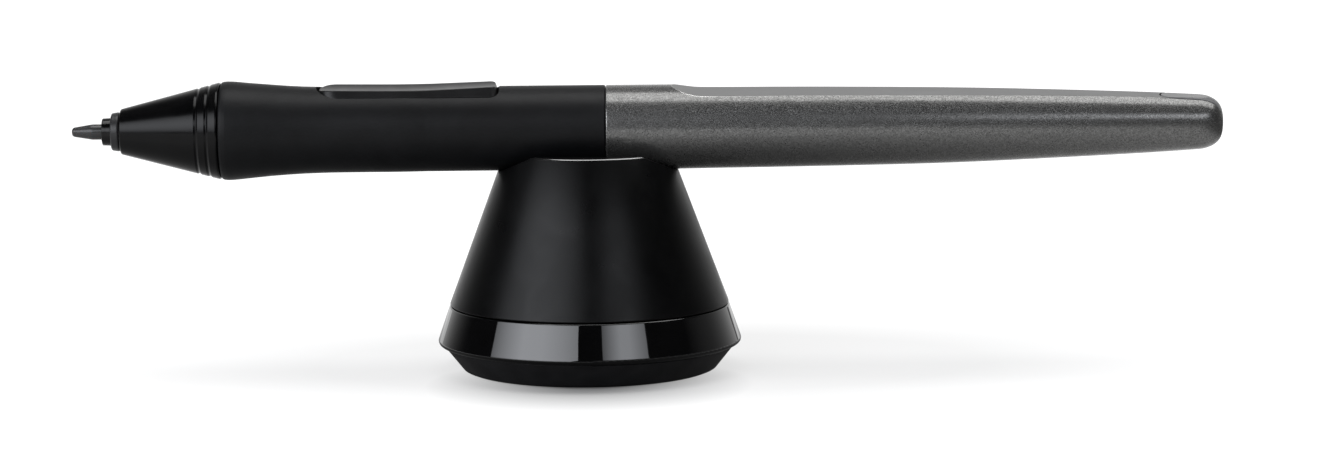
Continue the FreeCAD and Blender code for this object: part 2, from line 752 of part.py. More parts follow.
def make_grip_sleeve():
    """Soft rubber grip, swollen at the front where the fingers rest."""
    nose = [(GRIP_FRONT + along, PEN_RADIUS + swell) for along, swell in GRIP_NOSE]
    swell = [(GRIP_FRONT + along, PEN_RADIUS + swell) for along, swell in GRIP_SWELL]
    bore = TUBE_RADIUS + SEAT_GAP
    nose_bore = TUBE_NOSE_RADIUS + SEAT_GAP
    sleeve = turned_curves([nose, swell], [
        (GRIP_BACK - 0.15, PEN_RADIUS),
        (GRIP_BACK, PEN_RADIUS - 0.15),
        (GRIP_BACK, bore),
        (SWELL_BACK, bore),
        (NOSE_SPIGOT_BACK - 0.4, nose_bore),
        (GRIP_FRONT, nose_bore),
    ])
    return sleeve.cut(button_window())


def dish_section(station, edge_height):
    """Closed outline across the rocker, its lower side an arc that dips between the edges."""
    half = BUTTON_CROWN / 2
    reach = BUTTON_WIDTH / 2 + 0.8
    centre_height = edge_height - half ** 2 / (2 * DISH_RADIUS)
    side_height = centre_height + reach ** 2 / (2 * DISH_RADIUS)
    roof = 2 * PEN_RADIUS
    left = Vector(station, -reach, side_height)
    right = Vector(station, reach, side_height)
    dip = Part.Arc(left, Vector(station, 0, centre_height), right).toShape()
    top_right = Vector(station, reach, roof)
    top_left = Vector(station, -reach, roof)
    sides = Part.makePolygon([right, top_right, top_left, left])
    return Part.Wire([dip] + sides.Edges)


def make_rocker_button():
    """Side-switch rocker: a long dished front key that rises to a raised rest at the back."""
    length = BUTTON_BACK - BUTTON_FRONT
    half = BUTTON_WIDTH / 2
    slope = BUTTON_WIDTH - BUTTON_CROWN
    foot = PEN_RADIUS - 0.8
    body = Part.makeLoft([
        button_plan(BUTTON_FRONT, BUTTON_BACK, half, BUTTON_CORNER, BUTTON_UNDERSIDE),
        button_plan(BUTTON_FRONT, BUTTON_BACK, half, BUTTON_CORNER, foot),
        button_plan(
            BUTTON_FRONT + 0.35 * slope,
            BUTTON_BACK - 0.35 * slope,
            half - slope,
            BUTTON_CORNER - 0.35 * slope,
            foot + 1.8,
        ),
    ], True, True)
    sections = []
    for share, rise in ROCKER_CREST:
        sections.append(dish_section(BUTTON_FRONT + share * length, PEN_RADIUS + rise))
    button = body.cut(Part.makeLoft(sections, True, False))
    crown = [edge for edge in button.Edges if edge.BoundBox.ZMin > foot + 0.1]
    button = button.makeFillet(0.16, crown)
    root = BUTTON_UNDERSIDE + 0.3
    lug_half = EAR_INSIDE - COVER_GAP
    added = [box(PIVOT_X - 0.9, PIVOT_X + 0.9, -lug_half, lug_half, PIVOT_Z - 0.7, root)]
    for station in (FRONT_SWITCH_X, REAR_SWITCH_X):
        travel = abs(station - PIVOT_X) * math.sin(math.radians(ROCKER_TILT))
        added.append(rod_z(0.7, station, 0, SWITCH_TOP + travel + SEAT_GAP, root))
    button = button.multiFuse(added).removeSplitter()
    return button.cut(pin_rod(PIN_RADIUS + SLIDE_GAP, EAR_OUTSIDE + 1))


def pin_rod(radius, reach):
    """Cylinder on the rocker's pivot, reaching the same distance to each side."""
    start = Vector(PIVOT_X, -reach, PIVOT_Z)
    return Part.makeCylinder(radius, 2 * reach, start, ACROSS)


def make_rocker_pin():
    """Steel pin that the rocker turns on."""
    return pin_rod(PIN_RADIUS, EAR_OUTSIDE - 0.05)


def make_chassis():
    """Cradle for the board, with the sensor's cup in front and two ears for the pin."""
    cup_front = SENSOR_FRONT - 2.3
    cup_back = CRADLE_FRONT + 0.7
    sensor_bore = SENSOR_RADIUS + SEAT_GAP
    guide = CARRIER_RADIUS + 0.06
    cup = turned_about_x([
        (cup_front, guide),
        (cup_front, SENSOR_CUP, 0.2),
        (cup_back, SENSOR_CUP),
        (cup_back, sensor_bore),
        (cup_front + 0.7, sensor_bore),
        (cup_front + 0.7, guide),
    ])
    rim = BOARD_FOOT - SEAT_GAP
    cradle = rod_x(CRADLE_RADIUS, CRADLE_FRONT, CRADLE_BACK)
    cradle = cradle.cut(rod_x(CRADLE_BORE, CRADLE_FRONT + 1.5, CRADLE_BACK - 1.0))
    above = box(CRADLE_FRONT - 1, CRADLE_BACK + 1, -TUBE_RADIUS, TUBE_RADIUS, rim, TUBE_RADIUS)
    cradle = cradle.cut(above)
    cradle = cradle.cut(rod_x(sensor_bore, CRADLE_FRONT - 1, cup_back))
    added = [cradle]
    for low, high in ((EAR_INSIDE, EAR_OUTSIDE), (-EAR_OUTSIDE, -EAR_INSIDE)):
        ear_top = BUTTON_UNDERSIDE - 0.25
        added.append(box(PIVOT_X - 1.0, PIVOT_X + 1.0, low, high, 0.2 - CRADLE_BORE, ear_top))
    frame = cup.multiFuse(added).removeSplitter()
    lead_slot = box(CRADLE_FRONT - 0.1, BOARD_FRONT, -2.2, 2.2, rim, BOARD_TOP + 1.2)
    return frame.cut([pin_rod(PIN_RADIUS + 0.01, EAR_OUTSIDE + 1), lead_slot])


def make_circuit_board():
    """Long narrow board in the cradle, notched for the pin's ears."""
    board = box(BOARD_FRONT, BOARD_BACK, -BOARD_HALF, BOARD_HALF, BOARD_FOOT, BOARD_TOP)
    upright = [edge for edge in board.Edges if edge.BoundBox.ZLength > 0.5]
    board = board.makeFillet(0.5, upright)
    front = PIVOT_X - 1.2
    back = PIVOT_X + 1.2
    notch = EAR_INSIDE - LOOSE_GAP
    cuts = [
        box(front, back, notch, BOARD_HALF + 1, BOARD_FOOT - 1, BOARD_TOP + 1),
        box(front, back, -BOARD_HALF - 1, -notch, BOARD_FOOT - 1, BOARD_TOP + 1),
    ]
    for station in (BOARD_FRONT + 2.4, BOARD_BACK - 2.0):
        cuts.append(rod_z(0.5, station, BOARD_HALF - 1.1, BOARD_FOOT - 1, BOARD_TOP + 1))
    return board.cut(cuts)


def make_board_components():
    """Chips, capacitors and the tuning trimmer on top of the board."""
    front_room = FRONT_SWITCH_X - 1.5 - BOARD_FRONT
    rear_start = REAR_SWITCH_X + 1.5
    rear_room = BOARD_BACK - rear_start
    chips = [
        (BOARD_FRONT + 0.58 * front_room, 1.4, 0.8),
        (rear_start + 0.18 * rear_room, 1.0, 0.7),
        (rear_start + 0.47 * rear_room, 1.8, 0.9),
    ]
    bodies = []
    for middle, half, tall in chips:
        bodies.append(box(middle - half, middle + half, -half, half, BOARD_TOP, BOARD_TOP + tall))
    small = [
        FRONT_SWITCH_X + 3.2, FRONT_SWITCH_X + 4.5, PIVOT_X + 2.0, PIVOT_X + 3.2,
        rear_start + 0.3 * rear_room, rear_start + 0.63 * rear_room,
    ]
    for station in small:
        for side in (-3.2, 2.0):
            bodies.append(box(station, station + 0.6, side, side + 1.2, BOARD_TOP, BOARD_TOP + 0.5))
    trimmer_x = rear_start + 0.77 * rear_room
    top = BOARD_TOP + 1.2
    trimmer = rod_z(1.3, trimmer_x, 0, BOARD_TOP, top)
    slot = box(trimmer_x - 0.9, trimmer_x + 0.9, -0.15, 0.15, top - 0.3, top + 1)
    bodies.append(trimmer.cut(slot))
    return Part.makeCompound(bodies)


def make_switch(station):
    """Sealed push switch with a round plunger and four solder feet."""
    roof = SWITCH_TOP - 0.3
    body = box(station - 1.5, station + 1.5, -1.5, 1.5, BOARD_TOP + 0.1, roof)
    plunger = rod_z(0.8, station, 0, roof - 0.1, SWITCH_TOP)
    added = [plunger]
    for middle in (station - 1.1, station + 1.1):
        for low, high in ((1.3, 1.9), (-1.9, -1.3)):
            added.append(box(middle - 0.3, middle + 0.3, low, high, BOARD_TOP, BOARD_TOP + 0.35))
    return body.multiFuse(added).removeSplitter()


def make_front_switch():
    """Switch under the front of the rocker."""
    return make_switch(FRONT_SWITCH_X)


def make_rear_switch():
    """Switch under the back of the rocker."""
    return make_switch(REAR_SWITCH_X)


def make_foam_damper():
    """Foam plug that keeps the cradle from rattling in the tube."""
    front = CRADLE_BACK + 0.05
    back = CRADLE_BACK + 5.2
    return turned_about_x([
        (front, 0),
        (front, CRADLE_RADIUS, 0.5),
        (back, CRADLE_RADIUS, 0.5),
        (back, 0),
    ])


def facet_cutter():
    """Everything above the facet: a short hollow ramp, then a long gentle fall to the tail."""
    ramp = stretched(FACET_RAMP, FACET_FRONT, FACET_FRONT + RAMP_LENGTH, PEN_RADIUS)
    fall = stretched(FACET_FALL, FACET_FRONT, PEN_LENGTH, PEN_RADIUS)
    line = curve_through(ramp + fall)
    first = line.Vertexes[0].Point
    last = line.Vertexes[-1].Point
    roof = 1.5 * PEN_RADIUS
    lid = Part.makePolygon([last, Vector(last.x, 0, roof), Vector(first.x, 0, roof), first])
    face = Part.Face(Part.Wire([line] + lid.Edges))
    face.translate(Vector(0, -1.5 * PEN_RADIUS, 0))
    return face.extrude(Vector(0, 3 * PEN_RADIUS, 0))


def facet_boundary(solid):
    """Edges between the facet and the round of the barrel."""
    found = []
    for edge in solid.Edges:
        extent = edge.BoundBox
        slanting = extent.XLength > 0.01 and extent.YLength > 0.01
        if slanting and extent.XMax > FACET_FRONT + 1:
            found.append(edge)
    return found


def tail_solid():
    """Outside of the rear barrel: a long taper, a rounded end and the flat facet on top."""
    round_front = PEN_LENGTH - ROUND_END
    taper = stretched(TAIL_TAPER, FACET_FRONT + 0.4, round_front, PEN_RADIUS)
    end = stretched(TAIL_ROUND, round_front, PEN_LENGTH, PEN_RADIUS)
    solid = turned_curves([taper, end], [
        (PEN_LENGTH, 0),
        (BARREL_FRONT, 0),
        (BARREL_FRONT, PEN_RADIUS - 0.15),
        (BARREL_FRONT + 0.15, PEN_RADIUS),
    ])
    solid = solid.cut(facet_cutter())
    return solid.makeFillet(FACET_EDGE, facet_boundary(solid))


def tongue_prism(inset):
    """Tongue-shaped block at the tail, its sides drawn in by the inset."""
    front = TONGUE_FRONT + inset
    return pill(front, PEN_LENGTH + 5, TONGUE_WIDTH - 2 * inset, PEN_RADIUS / 4, 2 * PEN_RADIUS)


def make_rear_barrel():
    """Hollow tapered rear barrel with the flat facet and a pocket for the tail inlay."""
    bore = TAIL_SPIGOT + SLIDE_GAP
    reach = TONGUE_FRONT - FACET_FRONT
    hollow = turned_about_x([
        (BARREL_FRONT - 1, 0),
        (BARREL_FRONT - 1, bore),
        (TAIL_SPIGOT_BACK + 0.3, bore),
        (TAIL_SPIGOT_BACK + 1.5, 0.7 * PEN_RADIUS),
        (FACET_FRONT + 0.4, 0.7 * PEN_RADIUS),
        (FACET_FRONT + 4.4, 0.63 * PEN_RADIUS),
        (FACET_FRONT + 0.47 * reach, 0.6 * PEN_RADIUS),
        (FACET_FRONT + 0.74 * reach, 0.53 * PEN_RADIUS),
        (TONGUE_FRONT - 4.0, 0.43 * PEN_RADIUS),
        (TONGUE_FRONT - 2.0, 0.27 * PEN_RADIUS),
        (TONGUE_FRONT - 2.0, 0),
    ])
    return tail_solid().cut([hollow, tongue_prism(0)])


def make_tail_inlay():
    """Tongue let into the facet at the tail, wrapped over the rounded end."""
    return tail_solid().common(tongue_prism(TONGUE_GROOVE))


STAND_PIECES = {
    "cone_cover": make_cone_cover,
    "pen_socket": make_pen_socket,
    "gloss_ring": make_gloss_ring,
    "base_cup": make_base_cup,
    "friction_ring": make_friction_ring,
    "weight_plate": make_weight_plate,
    "nib_rack": make_nib_rack,
    "rack_screws": make_rack_screws,
    "spare_nibs": make_spare_nibs,
    "nib_extractor": make_nib_extractor,
    "base_pad": make_base_pad,
}

PEN_PIECES = {
    "nib": make_nib,
    "nib_guide": make_nib_guide,
    "nose_ring": make_nose_ring,
    "nose_cone": make_nose_cone,
    "ferrite_core": make_ferrite_core,
    "coil_winding": make_coil_winding,
    "nib_carrier": make_nib_carrier,
    "pressure_sensor": make_pressure_sensor,
    "front_barrel": make_front_barrel,
    "grip_sleeve": make_grip_sleeve,
    "rocker_button": make_rocker_button,
    "rocker_pin": make_rocker_pin,
    "chassis": make_chassis,
    "circuit_board": make_circuit_board,
    "board_components": make_board_components,
    "front_switch": make_front_switch,
    "rear_switch": make_rear_switch,
    "foam_damper": make_foam_damper,
    "rear_barrel": make_rear_barrel,
    "tail_inlay": make_tail_inlay,
}


def save(name, shape):
    """Write one piece to its own file."""
    shape.exportStep("parts/" + name + ".step")


def main():
    """Build every piece and write it out."""
    os.makedirs("parts", exist_ok=True)
    for name, make in STAND_PIECES.items():
        save(name, make())
    for name, make in PEN_PIECES.items():
        save(name, on_pen(make()))


main()
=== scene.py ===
"""Dresses a tablet pen that lies across its conical stand.

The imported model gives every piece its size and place. This script adds the pieces that are
finer than the solids, a procedural finish for every piece, the pale floor, the studio light
and the camera. Lengths are metres. Pieces of the pen are drawn in the pen's own frame, with
the nib's tip at the origin and the axis along +X, and are then laid where the pen lies.
"""
import logging
import math
from collections.abc import Iterable
from dataclasses import dataclass
from enum import Enum
from typing import Protocol

import bmesh
import bpy
from mathutils import Matrix, Vector


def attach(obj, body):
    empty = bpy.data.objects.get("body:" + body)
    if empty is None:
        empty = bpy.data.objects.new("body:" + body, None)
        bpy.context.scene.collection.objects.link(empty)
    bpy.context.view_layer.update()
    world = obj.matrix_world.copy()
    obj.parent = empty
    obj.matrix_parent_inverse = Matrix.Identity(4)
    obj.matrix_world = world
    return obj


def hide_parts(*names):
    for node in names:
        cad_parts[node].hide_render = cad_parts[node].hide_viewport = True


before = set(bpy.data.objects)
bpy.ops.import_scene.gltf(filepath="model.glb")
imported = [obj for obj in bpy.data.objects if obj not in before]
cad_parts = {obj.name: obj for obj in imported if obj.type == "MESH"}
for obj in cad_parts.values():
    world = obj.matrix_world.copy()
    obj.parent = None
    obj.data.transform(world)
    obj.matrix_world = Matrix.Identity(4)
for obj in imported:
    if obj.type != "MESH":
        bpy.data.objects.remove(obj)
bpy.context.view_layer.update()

LOG = logging.getLogger("pen_and_stand")
MM = 0.001
TURN = 2 * math.pi
UP = Vector((0, 0, 1))
WELD_DISTANCE = 0.0005 * MM
CREASE_ANGLE = math.radians(35)
MOTTLE_RATE = 260.0
WEAR_RATE = 1400.0
DUST_COLOUR = (0.3, 0.29, 0.28, 1.0)
BLACK = (0.0, 0.0, 0.0, 1.0)
WHITE = (1.0, 1.0, 1.0, 1.0)
Colour = tuple[float, float, float]
Points = list[tuple[float, float]]
Inputs = dict[str | int, object]


class Body(Enum):
    """Moving bodies that new pieces ride on."""

    BASE = "base"
    PEN = "pen"


class SharedEffect(Enum):
    """Surface effects that several finishes use, by the name of their node group."""

    GRAIN = "moulded_grain"
    EDGE = "edge_wear"
    SMUDGE = "handling_smudge"
    FLAKE = "metal_flake"
    DUST = "settled_dust"


class Wiring:
    """Adds nodes to one shader tree and joins their sockets."""

    def __init__(self, tree: bpy.types.ShaderNodeTree) -> None:
        """Keep the tree that the nodes go into."""
        self.tree = tree

    def add(self, kind: str, inputs: Inputs | None = None, **settings: object) -> bpy.types.Node:
        """Add one node.

        Args:
            kind: The node's type, without its ShaderNode prefix.
            inputs: Values or sockets for the node's input sockets, by name or place.
            settings: The node's own properties.

        Returns:
            The new node.
        """
        node = self.tree.nodes.new("ShaderNode" + kind)
        for name, value in settings.items():
            setattr(node, name, value)
        for name, value in (inputs or {}).items():
            socket = node.inputs[name]
            if isinstance(value, bpy.types.NodeSocket):
                self.tree.links.new(value, socket)
            else:
                socket.default_value = value
        return node

    def math(self, operation: str, first: object, second: object = 0.0) -> bpy.types.NodeSocket:
        """Result of a Math node on two values or sockets."""
        return self.add("Math", {0: first, 1: second}, operation=operation).outputs[0]

    def sum(self, *parts: object) -> bpy.types.NodeSocket:
        """All the values or sockets added up."""
        total = parts[0]
        for part in parts[1:]:
            total = self.math("ADD", total, part)
        return total

    def times(self, *parts: object) -> bpy.types.NodeSocket:
        """All the values or sockets multiplied."""
        total = parts[0]
        for part in parts[1:]:
            total = self.math("MULTIPLY", total, part)
        return total

    def ramp(
        self, value: object, low: float, high: float, start: float = 0.0, end: float = 1.0
    ) -> bpy.types.NodeSocket:
        """Value moved from the range low to high into another range, and held there.

        Args:
            value: The socket to move.
            low: Start of its range.
            high: End of its range.
            start: Result at low.
            end: Result at high.

        Returns:
            The moved value's socket.
        """
        inputs = {"Value": value, 1: low, 2: high, 3: start, 4: end}
        return self.add("MapRange", inputs, clamp=True).outputs[0]

    def blend(self, share: object, first: object, second: object) -> bpy.types.NodeSocket:
        """Colour between two colours by a share from 0 to 1."""
        mix = self.add("Mix", {0: share, 6: first, 7: second}, data_type="RGBA")
        return mix.outputs[2]

    def grey(self, value: object) -> bpy.types.NodeSocket:
        """Grey of the given value."""
        return self.add("CombineColor", {0: value, 1: value, 2: value}).outputs[0]

    def place(self) -> bpy.types.NodeSocket:
        """Place on the object, in metres."""
        return self.add("TexCoord").outputs["Object"]

    def parts(self, vector: bpy.types.NodeSocket) -> list[bpy.types.NodeSocket]:
        """The three parts of a vector."""
        return list(self.add("SeparateXYZ", {0: vector}).outputs)

    def dot(self, first: object, second: object) -> bpy.types.NodeSocket:
        """Dot product of two vectors."""
        return self.add("VectorMath", {0: first, 1: second}, operation="DOT_PRODUCT").outputs["Value"]

    def length(self, vector: object) -> bpy.types.NodeSocket:
        """Length of a vector."""
        return self.add("VectorMath", {0: vector}, operation="LENGTH").outputs["Value"]

    def noise(
        self, place: object, scale: object, detail: float = 3.0, **more: float
    ) -> bpy.types.NodeSocket:
        """Value of a noise texture."""
        inputs = {"Vector": place, "Scale": scale, "Detail": detail, **more}
        return self.add("TexNoise", inputs).outputs[0]

    def bump(
        self, strength: float, distance: float, height: object, normal: object
    ) -> bpy.types.NodeSocket:
        """Normal bent by a height.

        Args:
            strength: Share of the bend that is kept.
            distance: Height in metres of a value of one.
            height: The height's socket.
            normal: The normal that it starts from.

        Returns:
            The bent normal's socket.
        """
        inputs = {"Strength": strength, "Distance": distance, "Height": height, "Normal": normal}
        return self.add("Bump", inputs).outputs["Normal"]

    def join(self, source: bpy.types.NodeSocket, target: bpy.types.NodeSocket) -> None:
        """Link two sockets."""
        self.tree.links.new(source, target)


class Effects:
    """Builds each shared effect's node group once and places it in materials."""

    def __init__(self) -> None:
        """Build every group."""
        makers = {
            SharedEffect.GRAIN: self.make_grain,
            SharedEffect.EDGE: self.make_edge,
            SharedEffect.SMUDGE: self.make_smudge,
            SharedEffect.FLAKE: self.make_flake,
            SharedEffect.DUST: self.make_dust,
        }
        self.groups = {effect: make(effect.value) for effect, make in makers.items()}

    @staticmethod
    def new_group(name: str, entry: str, outputs: dict[str, str]) -> tuple:
        """Start a node group.

        Args:
            name: The group's name.
            entry: Name of its one number input.
            outputs: Names of its outputs with their kinds, Float, Color or Vector.

        Returns:
            The group, its wiring, its input's socket and its output node.
        """
        group = bpy.data.node_groups.new(name, "ShaderNodeTree")
        group.interface.new_socket(name=entry, in_out="INPUT", socket_type="NodeSocketFloat")
        for title, kind in outputs.items():
            group.interface.new_socket(name=title, in_out="OUTPUT", socket_type="NodeSocket" + kind)
        enter = group.nodes.new("NodeGroupInput")
        leave = group.nodes.new("NodeGroupOutput")
        return group, Wiring(group), enter.outputs[entry], leave

    def make_grain(self, name: str) -> bpy.types.ShaderNodeTree:
        """Fine spark-eroded grain with a slow mottle over it."""
        outputs = {"Height": "Float", "Mottle": "Float"}
        group, wire, size, leave = self.new_group(name, "Size", outputs)
        place = wire.place()
        rate = wire.math("DIVIDE", 1.0, size)
        fine = wire.noise(place, rate)
        pits = wire.add("TexVoronoi", {"Vector": place, "Scale": rate}, feature="SMOOTH_F1").outputs[0]
        slow = wire.noise(place, MOTTLE_RATE, 4.0)
        wire.join(wire.sum(fine, wire.times(pits, 0.6)), leave.inputs["Height"])
        wire.join(wire.ramp(slow, 0.35, 0.65), leave.inputs["Mottle"])
        return group

    def make_edge(self, name: str) -> bpy.types.ShaderNodeTree:
        """Softened edges, and a broken mask along them where handling polishes the surface."""
        outputs = {"Mask": "Float", "Normal": "Vector"}
        group, wire, radius, leave = self.new_group(name, "Radius", outputs)
        soft = wire.add("Bevel", {"Radius": radius}, samples=6).outputs["Normal"]
        plain = wire.add("NewGeometry").outputs["Normal"]
        turn = wire.math("SUBTRACT", 1.0, wire.dot(soft, plain))
        broken = wire.noise(wire.place(), WEAR_RATE, 4.0)
        edge = wire.ramp(turn, 0.01, 0.16)
        wire.join(wire.times(edge, wire.ramp(broken, 0.38, 0.6, 0.35)), leave.inputs["Mask"])
        wire.join(soft, leave.inputs["Normal"])
        return group

    def make_smudge(self, name: str) -> bpy.types.ShaderNodeTree:
        """Slow, streaky change of gloss from handling."""
        group, wire, size, leave = self.new_group(name, "Size", {"Mask": "Float"})
        rate = wire.math("DIVIDE", 1.0, size)
        cloud = wire.noise(wire.place(), rate, 5.0, Distortion=0.8)
        wire.join(wire.ramp(cloud, 0.4, 0.7), leave.inputs["Mask"])
        return group

    def make_flake(self, name: str) -> bpy.types.ShaderNodeTree:
        """Metal flakes in paint: a random shade for each flake, and a softer cloud of them."""
        outputs = {"Glint": "Float", "Cloud": "Float"}
        group, wire, size, leave = self.new_group(name, "Size", outputs)
        place = wire.place()
        rate = wire.math("DIVIDE", 1.0, size)
        cells = wire.add("TexVoronoi", {"Vector": place, "Scale": rate}).outputs["Color"]
        shade = wire.add("SeparateColor", {0: cells}).outputs[0]
        cloud = wire.noise(place, wire.times(rate, 0.45), 2.0)
        wire.join(shade, leave.inputs["Glint"])
        wire.join(wire.ramp(cloud, 0.3, 0.7), leave.inputs["Cloud"])
        return group

    def make_dust(self, name: str) -> bpy.types.ShaderNodeTree:
        """Sparse specks of dust on faces that look up."""
        group, wire, size, leave = self.new_group(name, "Size", {"Mask": "Float"})
        rate = wire.math("DIVIDE", 1.0, size)
        place = wire.place()
        specks = wire.add("TexVoronoi", {"Vector": place, "Scale": rate}).outputs[0]
        patches = wire.ramp(wire.noise(place, wire.times(rate, 0.3)), 0.55, 0.7)
        up = wire.parts(wire.add("NewGeometry").outputs["Normal"])[2]
        lying = wire.ramp(up, 0.3, 0.9)
        wire.join(wire.times(wire.ramp(specks, 0.16, 0.06), patches, lying), leave.inputs["Mask"])
        return group

    def place(self, wire: Wiring, effect: SharedEffect, value: float) -> bpy.types.Node:
        """Place an effect in a material.

        Args:
            wire: The material's wiring.
            effect: Which effect.
            value: Value for the group's one input.

        Returns:
            The group node.
        """
        node = wire.tree.nodes.new("ShaderNodeGroup")
        node.node_tree = self.groups[effect]
        node.inputs[0].default_value = value
        return node


class Finish(Protocol):
    """What every finish offers: a name and a way to make its material."""

    name: str

    def make(self, effects: Effects) -> bpy.types.Material:
        """Build the finish's material."""


def start_material(name: str) -> tuple[bpy.types.Material, Wiring, bpy.types.Node]:
    """Start a node material.

    Args:
        name: The material's name.

    Returns:
        The material, its wiring and its shader.
    """
    material = bpy.data.materials.new(name)
    material.use_nodes = True
    return material, Wiring(material.node_tree), material.node_tree.nodes["Principled BSDF"]


def scaled(colour: Colour, factor: float, lift: float = 0.0) -> tuple[float, float, float, float]:
    """Colour times a factor plus a lift, no brighter than white."""
    return (*(min(1.0, part * factor + lift) for part in colour), 1.0)


@dataclass(frozen=True)
class Polish:
    """Rounded rim that hands and the pen have polished, by its height, lean and distance from the axis."""

    low: float
    high: float
    inner: float
    index: float
    roughness: float = 0.1

    def mask(self, wire: Wiring) -> bpy.types.NodeSocket:
        """Share of polish over the surface."""
        x, y, z = wire.parts(wire.place())
        away = wire.math("SQRT", wire.sum(wire.times(x, x), wire.times(y, y)))
        rise = wire.ramp(z, self.low, self.high)
        rim = wire.ramp(away, self.inner - 0.2 * MM, self.inner)
        steep = wire.parts(wire.add("TexCoord").outputs["Normal"])[2]
        turning = wire.times(wire.ramp(steep, 0.4, 0.55), wire.ramp(steep, 0.92, 0.985, 1.0, 0.0))
        return wire.times(rise, rim, turning)


@dataclass(frozen=True)
class Crown:
    """Slight inward roll of a wall towards its top, from a height upwards."""

    foot: float
    bend: float

    def normal(self, wire: Wiring, before: bpy.types.NodeSocket) -> bpy.types.NodeSocket:
        """The surface's normal with the roll added.

        Args:
            wire: The material's wiring.
            before: The normal that it starts from.

        Returns:
            The new normal's socket.
        """
        z = wire.parts(wire.place())[2]
        above = wire.math("MAXIMUM", wire.math("SUBTRACT", z, self.foot), 0.0)
        return wire.bump(1.0, 1.0, wire.times(above, above, -0.5 * self.bend), before)


@dataclass(frozen=True)
class Moulding:
    """Plastic or rubber as it comes from a mould, with grain, mottle and softened edges."""

    name: str
    colour: Colour
    roughness: float
    grain: float = 0.12 * MM
    depth: float = 0.15
    lighter: float = 1.5
    edge: float = 0.12 * MM
    specular: float = 0.5
    subsurface: float = 0.0
    smudge: float = 0.06
    smudge_size: float = 6 * MM
    dust: float = 0.0
    dust_size: float = 0.5 * MM
    polish: Polish | None = None
    crown: Crown | None = None

    def make(self, effects: Effects) -> bpy.types.Material:
        """Build the finish's material.

        Args:
            effects: The shared effects.

        Returns:
            The material.
        """
        material, wire, shader = start_material(self.name)
        grain = effects.place(wire, SharedEffect.GRAIN, self.grain)
        edge = effects.place(wire, SharedEffect.EDGE, self.edge)
        smudge = effects.place(wire, SharedEffect.SMUDGE, self.smudge_size).outputs["Mask"]
        fresh, pale = scaled(self.colour, 1.0), scaled(self.colour, self.lighter)
        worn = scaled(self.colour, self.lighter ** 2, 0.001)
        body = wire.blend(grain.outputs["Mottle"], fresh, pale)
        body = wire.blend(edge.outputs["Mask"], body, worn)
        if self.dust:
            specks = effects.place(wire, SharedEffect.DUST, self.dust_size).outputs["Mask"]
            body = wire.blend(wire.times(specks, self.dust), body, DUST_COLOUR)
        wire.join(body, shader.inputs["Base Color"])
        wire.join(wire.sum(wire.times(smudge, -self.smudge), self.roughness), shader.inputs["Roughness"])
        normal = edge.outputs["Normal"]
        if self.crown:
            normal = self.crown.normal(wire, normal)
        normal = wire.bump(self.depth, self.grain * 0.5, grain.outputs["Height"], normal)
        wire.join(normal, shader.inputs["Normal"])
        shader.inputs["Specular IOR Level"].default_value = self.specular
        shader.inputs["Subsurface Weight"].default_value = self.subsurface
        shader.inputs["Subsurface Scale"].default_value = 0.5 * MM
        if self.polish:
            wire.join(self.polish.mask(wire), shader.inputs["Coat Weight"])
            shader.inputs["Coat IOR"].default_value = self.polish.index
            shader.inputs["Coat Roughness"].default_value = self.polish.roughness
        return material


@dataclass(frozen=True)
class Facet:
    """Smooth flat along the top of the barrel, where the paint lies calm."""

    front: float
    roll: float
    shade: Colour
    roughness: float
    # Where the painted edge highlight is strongest along the barrel, how far it fades, and its least
    # share.
    painted_highlight_middle: float = 1.5 * MM
    painted_highlight_span: tuple[float, float] = (1.6 * MM, 6 * MM)
    painted_highlight_least: float = 0.25

    def mask(self, wire: Wiring) -> bpy.types.NodeSocket:
        """Share of the flat over the surface: behind its front, where nothing leans sideways."""
        normal = wire.add("TexCoord").outputs["Normal"]
        roll = math.radians(self.roll)
        side = (0.0, math.cos(roll), math.sin(roll))
        level = wire.ramp(wire.math("ABSOLUTE", wire.dot(normal, side)), 0.02, 0.08, 1.0, 0.0)
        behind = wire.math("GREATER_THAN", wire.parts(wire.place())[0], self.front)
        top = wire.math("GREATER_THAN", wire.parts(normal)[2], 0.0)
        return wire.times(level, behind, top)

    def painted_highlight_share(self, wire: Wiring) -> bpy.types.NodeSocket:
        """Share of painted highlight along the paint's edges, most round the front of the flat."""
        along = wire.math("SUBTRACT", wire.parts(wire.place())[0], self.front + self.painted_highlight_middle)
        return wire.ramp(wire.math("ABSOLUTE", along), *self.painted_highlight_span, 1.0, self.painted_highlight_least)


